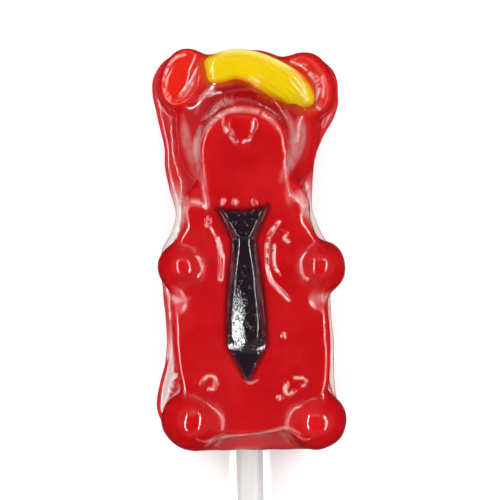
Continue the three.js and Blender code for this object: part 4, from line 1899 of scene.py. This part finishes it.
@dataclass
class Tie:
    """The neck tie: a knot under the chin and a blade down to the belly.

    Each station is a y with the half width of the tie there, the half width of its raised face and
    how proud of the jelly that face stands.
    """

    stations: tuple[Knot, ...] = (
        (-35.4, 0.5, 0.2, 0.35), (-31.5, 2.6, 0.3, 0.55), (-28.0, 4.4, 1.4, 0.95),
        (-26.0, 5.3, 3.0, 1.30), (-24.0, 5.35, 4.0, 1.75), (-19.0, 5.2, 4.0, 2.25),
        (-14.0, 4.8, 3.5, 2.40), (-8.2, 4.4, 2.9, 2.40), (2.0, 3.2, 1.4, 2.10),
        (2.9, 3.2, 1.6, 1.90), (3.8, 3.4, 1.8, 2.40), (7.0, 4.7, 3.4, 2.50), (10.2, 6.2, 4.9, 2.70),
        (11.2, 6.7, 5.4, 2.70), (11.6, 6.8, 5.5, 1.90),
    )
    x: float = 0.1
    edge_proud: float = 0.15
    border: float = 0.9  # width of the edge that is seen through the red
    corner: float = 0.8  # rounding between the face and the sloping sides
    least_slope: float = 0.2  # the least width of such a side
    depth: float = 2.2
    columns: int = 28
    rows: int = 130
    lean_steepness: float = 0.40  # how steeply the left of the blade's foot falls away
    lean_from: float = 1.8  # how far right of the middle that begins
    lean_over: float = 3.0  # and over what width it rounds over
    lean_lift: float = 0.9  # how much the rest of the foot stands higher for it
    lean_ys: Knot = (-29.0, -25.5, -18.0, -3.0)
    dip: float = 0.9  # how far the knot's upper edge sags in its middle
    skew: float = 0.035  # how much higher the knot's right corner is
    knot_ys: Range = (3.0, 11.6)  # where the knot's sag sets in
    laid_at: float = 30.0  # the height at which the strip is made
    plate: float = 3.0  # and its thickness then
    smooth_angle: float = 32.0  # edges sharper than this, in degrees, stay sharp
    pitted_ys: Range = (-3.0, -8.0)  # where the blade's grain sets in
    calmer_ys: Range = (-14.0, -20.0)  # and where it lessens
    grain: tuple[float, float, float] = (0.15, 2.4, 1.5)  # least, added and taken off again
    fleck_ys: tuple[Range, Range, Range] = ((-2.0, -8.0), (-29.0, -26.0), (3.0, 4.0))
    flecks: tuple[float, float] = (0.2, 0.8)  # least and added

    def along(self, y: Array) -> Array:
        """Follows the tie's stations.

        Args:
            y: Where along the tie.

        Returns:
            The half width, the face's half width and the height of the face there.
        """
        knots = np.array(self.stations)
        widths = [np.interp(y, knots[:, 0], knots[:, k]) for k in (1, 2)]
        return np.stack(widths + [smooth_table(knots[:, 0], knots[:, 3], y)], axis=1)

    def build(self, form: JellyForm) -> Object:
        """Shapes a strip to the tie's outline and lays it on the jelly.

        Args:
            form: The bear that the tie lies on.

        Returns:
            The finished tie.
        """
        bottom, top = self.stations[0][0], self.stations[-1][0]
        deselect_all()
        bpy.ops.mesh.primitive_grid_add(
            x_subdivisions=self.columns, y_subdivisions=self.rows, size=2 * MM,
            location=to_row(np.array([self.x, (bottom + top) / 2, self.laid_at])),
        )
        tie = named("neck_tie")
        tie.scale = (1, (top - bottom) / 2, 1)
        apply_place(tie)
        edit_all()
        down = (0, 0, -self.plate * MM)
        bpy.ops.mesh.extrude_region_move(TRANSFORM_OT_translate={"value": down})
        bpy.ops.mesh.select_all(action="SELECT")
        bpy.ops.mesh.normals_make_consistent(inside=False)
        bpy.ops.object.mode_set(mode="OBJECT")
        flat = mesh_points(tie)
        place_points(tie, self.shaped(flat, form))
        y = mesh_points(tie)[:, 1]
        from_edge = self.along(flat[:, 1])[:, 0] * (1 - np.abs(flat[:, 0] - self.x))
        point_attribute(tie, "sunk", 1 - ease(0.0, self.border, from_edge))
        least, added, calmed = self.grain
        lessened = added - calmed * ease(*self.calmer_ys, y)
        point_attribute(tie, "grain", least + ease(*self.pitted_ys, y) * lessened)
        head, foot, knot = (ease(*ys, y) for ys in self.fleck_ys)
        least, added = self.flecks
        point_attribute(tie, "flecks", least + added * np.maximum(knot, head * foot))
        dress(tie, BlackJelly().material())
        bpy.ops.object.shade_smooth_by_angle(angle=math.radians(self.smooth_angle))
        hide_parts(Node.TIE.value)
        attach(tie, "root")
        LOG.info("tie: %d faces", len(tie.data.polygons))
        return tie

    def shaped(self, points: Array, form: JellyForm) -> Array:
        """Moves the strip's points to the tie's outline, face and sloping sides.

        Args:
            points: The points.
            form: The bear that the tie lies on.

        Returns:
            Where each of them goes.
        """
        side = points[:, 0] - self.x
        y = points[:, 1]
        lower = points[:, 2] < self.laid_at - self.plate / 2
        half, face, proud = self.along(y).T
        out = points.copy()
        out[:, 0] = self.x + side * half
        in_knot = ease(*self.knot_ys, y)
        out[:, 1] += in_knot * (self.skew * side * half - self.dip * (1 - side**2))
        from_edge = half * (1 - np.abs(side))
        steepness = (proud - self.edge_proud) / np.maximum(half - face, self.least_slope)
        climb = self.edge_proud + from_edge * steepness
        foot, low, high, head = self.lean_ys
        past = np.maximum(self.lean_from - side * half, 0)
        rounded = np.minimum(past, self.lean_over)
        drop = self.lean_steepness * (rounded**2 / (2 * self.lean_over) + past - rounded)
        leaning = (self.lean_lift - drop) * ease(foot, low, y) * ease(head, high, y)
        rise = join(climb, proud + leaning, self.corner)
        jelly = form.top_height(np.full(len(y), self.x), y)
        out[:, 2] = jelly + np.where(lower, -self.depth, rise)
        return out


@dataclass
class Stick:
    """The round paper stick."""

    sides: int = 96
    lip: float = 0.5  # the rounding of its ends
    rings: int = 3  # of the rolled paper, on each end
    ring_width: float = 0.27  # as a share of the radius
    ring_edge: float = 0.02
    ring_step: float = 0.0001  # from one to the next, in metres
    end_facing: float = 0.9  # the y of the normals of its ends
    lip_steps: int = 4
    lip_angle: float = 60.0  # edges sharper than this, in degrees, are rounded
    smooth_angle: float = 35.0  # and those sharper than this stay sharp

    def build(self) -> Object:
        """Rounds the ends of a long cylinder and dresses it.

        Returns:
            The finished stick.
        """
        low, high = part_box(Node.STICK.value)
        radius, length = (high.x - low.x) / 2, high.y - low.y
        centre = (low + high) / 2
        deselect_all()
        bpy.ops.mesh.primitive_cylinder_add(
            vertices=self.sides, radius=radius, depth=length, location=centre,
            rotation=(math.radians(90), 0, 0),
        )
        stick = named("paper_stick")
        apply_place(stick)
        edit_faces(stick, np.abs(face_values(stick, "normal")[:, 1]) > self.end_facing)
        width, edge = radius * self.ring_width, radius * self.ring_edge
        for _ in range(self.rings):
            bpy.ops.mesh.inset(thickness=width, use_individual=True)
            bpy.ops.mesh.inset(thickness=edge, depth=-self.ring_step, use_individual=True)
        bpy.ops.object.mode_set(mode="OBJECT")
        apply_modifier(
            stick, "BEVEL", width=self.lip * MM, segments=self.lip_steps, limit_method="ANGLE",
            angle_limit=math.radians(self.lip_angle),
        )
        dress(stick, WhitePaper().material())
        bpy.ops.object.shade_smooth_by_angle(angle=math.radians(self.smooth_angle))
        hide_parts(Node.STICK.value)
        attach(stick, "root")
        LOG.info("stick: %d faces", len(stick.data.polygons))
        return stick


# ---- Studio ----


@dataclass(frozen=True)
class Lamp:
    """A rectangular lamp: its place from the spot under the camera, its size and its watts."""

    name: str
    place: Place
    size: tuple[float, float]  # width and length
    power: float
    glossy: bool = True  # whether gloss shows it


@dataclass
class Studio:
    """The floor, the lights and the camera that looks straight down."""

    camera_height: float = 0.664
    camera_x: float = 0.00025
    camera_y: float = 0.0474
    lens: float = 165.9
    sensor: float = 36.0
    roll: float = -1.5
    floor_size: float = 6.0
    walls: float = 0.25  # brightness of the studio round the floor
    ceiling: float = 0.045  # and over it
    below: float = 0.08  # what gloss shows of the floor, in the red light round the bear
    below_tint: Colour = (1.0, 0.16, 0.2, 1)
    overhead: Range = (0.6, 0.85)  # the z of the directions between the walls and the ceiling
    horizon: Range = (-0.05, 0.15)  # and between what is below and the walls
    lamps: tuple[Lamp, ...] = (
        Lamp("strip_left", (-0.48, 0.0, 0.52), (1.3, 0.04), 7.2),
        Lamp("strip_right", (0.48, 0.0, 0.52), (1.3, 0.04), 7.2),
        Lamp("soft_head", (0.0, 0.60, 0.50), (0.5, 0.2), 0.35),
        Lamp("fill", (0.0, 0.0, 1.3), (1.8, 1.8), 8.4, glossy=False),
    )
    aim_height: float = 0.015
    floor_gap: float = 0.0001  # keeps the floor clear of the jelly's flat back
    floor_cells: int = 12

    def build(self) -> None:
        """Sets up everything round the lollipop."""
        self.floor()
        self.camera()
        self.lights()
        bpy.context.scene.view_settings.view_transform = "Standard"

    def floor(self) -> None:
        """Lays the pale floor just under the lollipop."""
        deselect_all()
        bpy.ops.mesh.primitive_grid_add(
            x_subdivisions=self.floor_cells, y_subdivisions=self.floor_cells,
            size=self.floor_size, location=(0, 0, -self.floor_gap),
        )
        floor = named("floor")
        floor.data.materials.append(PaleFloor().material())
        floor.visible_glossy = False

    def camera(self) -> None:
        """Hangs the camera over the bear."""
        data = bpy.data.cameras.new("camera")
        data.lens = self.lens
        data.sensor_width = self.sensor
        camera = bpy.data.objects.new("camera", data)
        camera.location = (self.camera_x, self.camera_y, self.camera_height)
        camera.rotation_euler = Euler((0, 0, math.radians(self.roll)))
        bpy.context.scene.collection.objects.link(camera)
        bpy.context.scene.camera = camera

    def hang(self, lamp: Lamp) -> None:
        """Hangs one lamp, aimed at the middle of the bear.

        Args:
            lamp: The lamp.
        """
        data = bpy.data.lights.new(lamp.name, "AREA")
        data.shape = "RECTANGLE"
        data.size, data.size_y = lamp.size
        data.energy = lamp.power
        light = bpy.data.objects.new(lamp.name, data)
        x, y, z = lamp.place
        light.location = (x, self.camera_y + y, z)
        aim = Vector((0, self.camera_y, self.aim_height)) - light.location
        light.rotation_euler = aim.to_track_quat("-Z", "Y").to_euler()
        light.visible_glossy = lamp.glossy
        bpy.context.scene.collection.objects.link(light)

    def lights(self) -> None:
        """Hangs a strip on either side, a soft lamp past the head and a fill, in a dim studio."""
        for lamp in self.lamps:
            self.hang(lamp)
        world = bpy.data.worlds.new("studio")
        world.use_nodes = True
        sheet = Sheet(world.node_tree)
        background = world.node_tree.nodes["Background"]
        direction = sheet.add("ShaderNodeSeparateXYZ")
        sheet.link(sheet.add("ShaderNodeTexCoord").outputs["Generated"], direction.inputs[0])
        overhead = sheet.spread(direction.outputs["Z"], *self.overhead)
        dimmer = sheet.math("MULTIPLY", overhead, self.walls - self.ceiling)
        level = sheet.math("SUBTRACT", self.walls, dimmer)
        horizon = sheet.spread(direction.outputs["Z"], *self.horizon)
        sheet.link(sheet.blend(horizon, self.below_tint, (1, 1, 1, 1)), background.inputs["Color"])
        level = sheet.math("MULTIPLY", sheet.math("SUBTRACT", level, self.below), horizon)
        sheet.link(sheet.math("ADD", level, self.below), background.inputs["Strength"])
        bpy.context.scene.world = world


def main() -> None:
    """Builds the lollipop and the studio round it."""
    logging.basicConfig(level=logging.INFO, format="%(message)s")
    bear = Bear()
    hair = Hair().build(bear.form)
    tie = Tie().build(bear.form)
    bear.build(hair, tie)
    Stick().build()
    Studio().build()


if __name__ == "__main__":
    main()
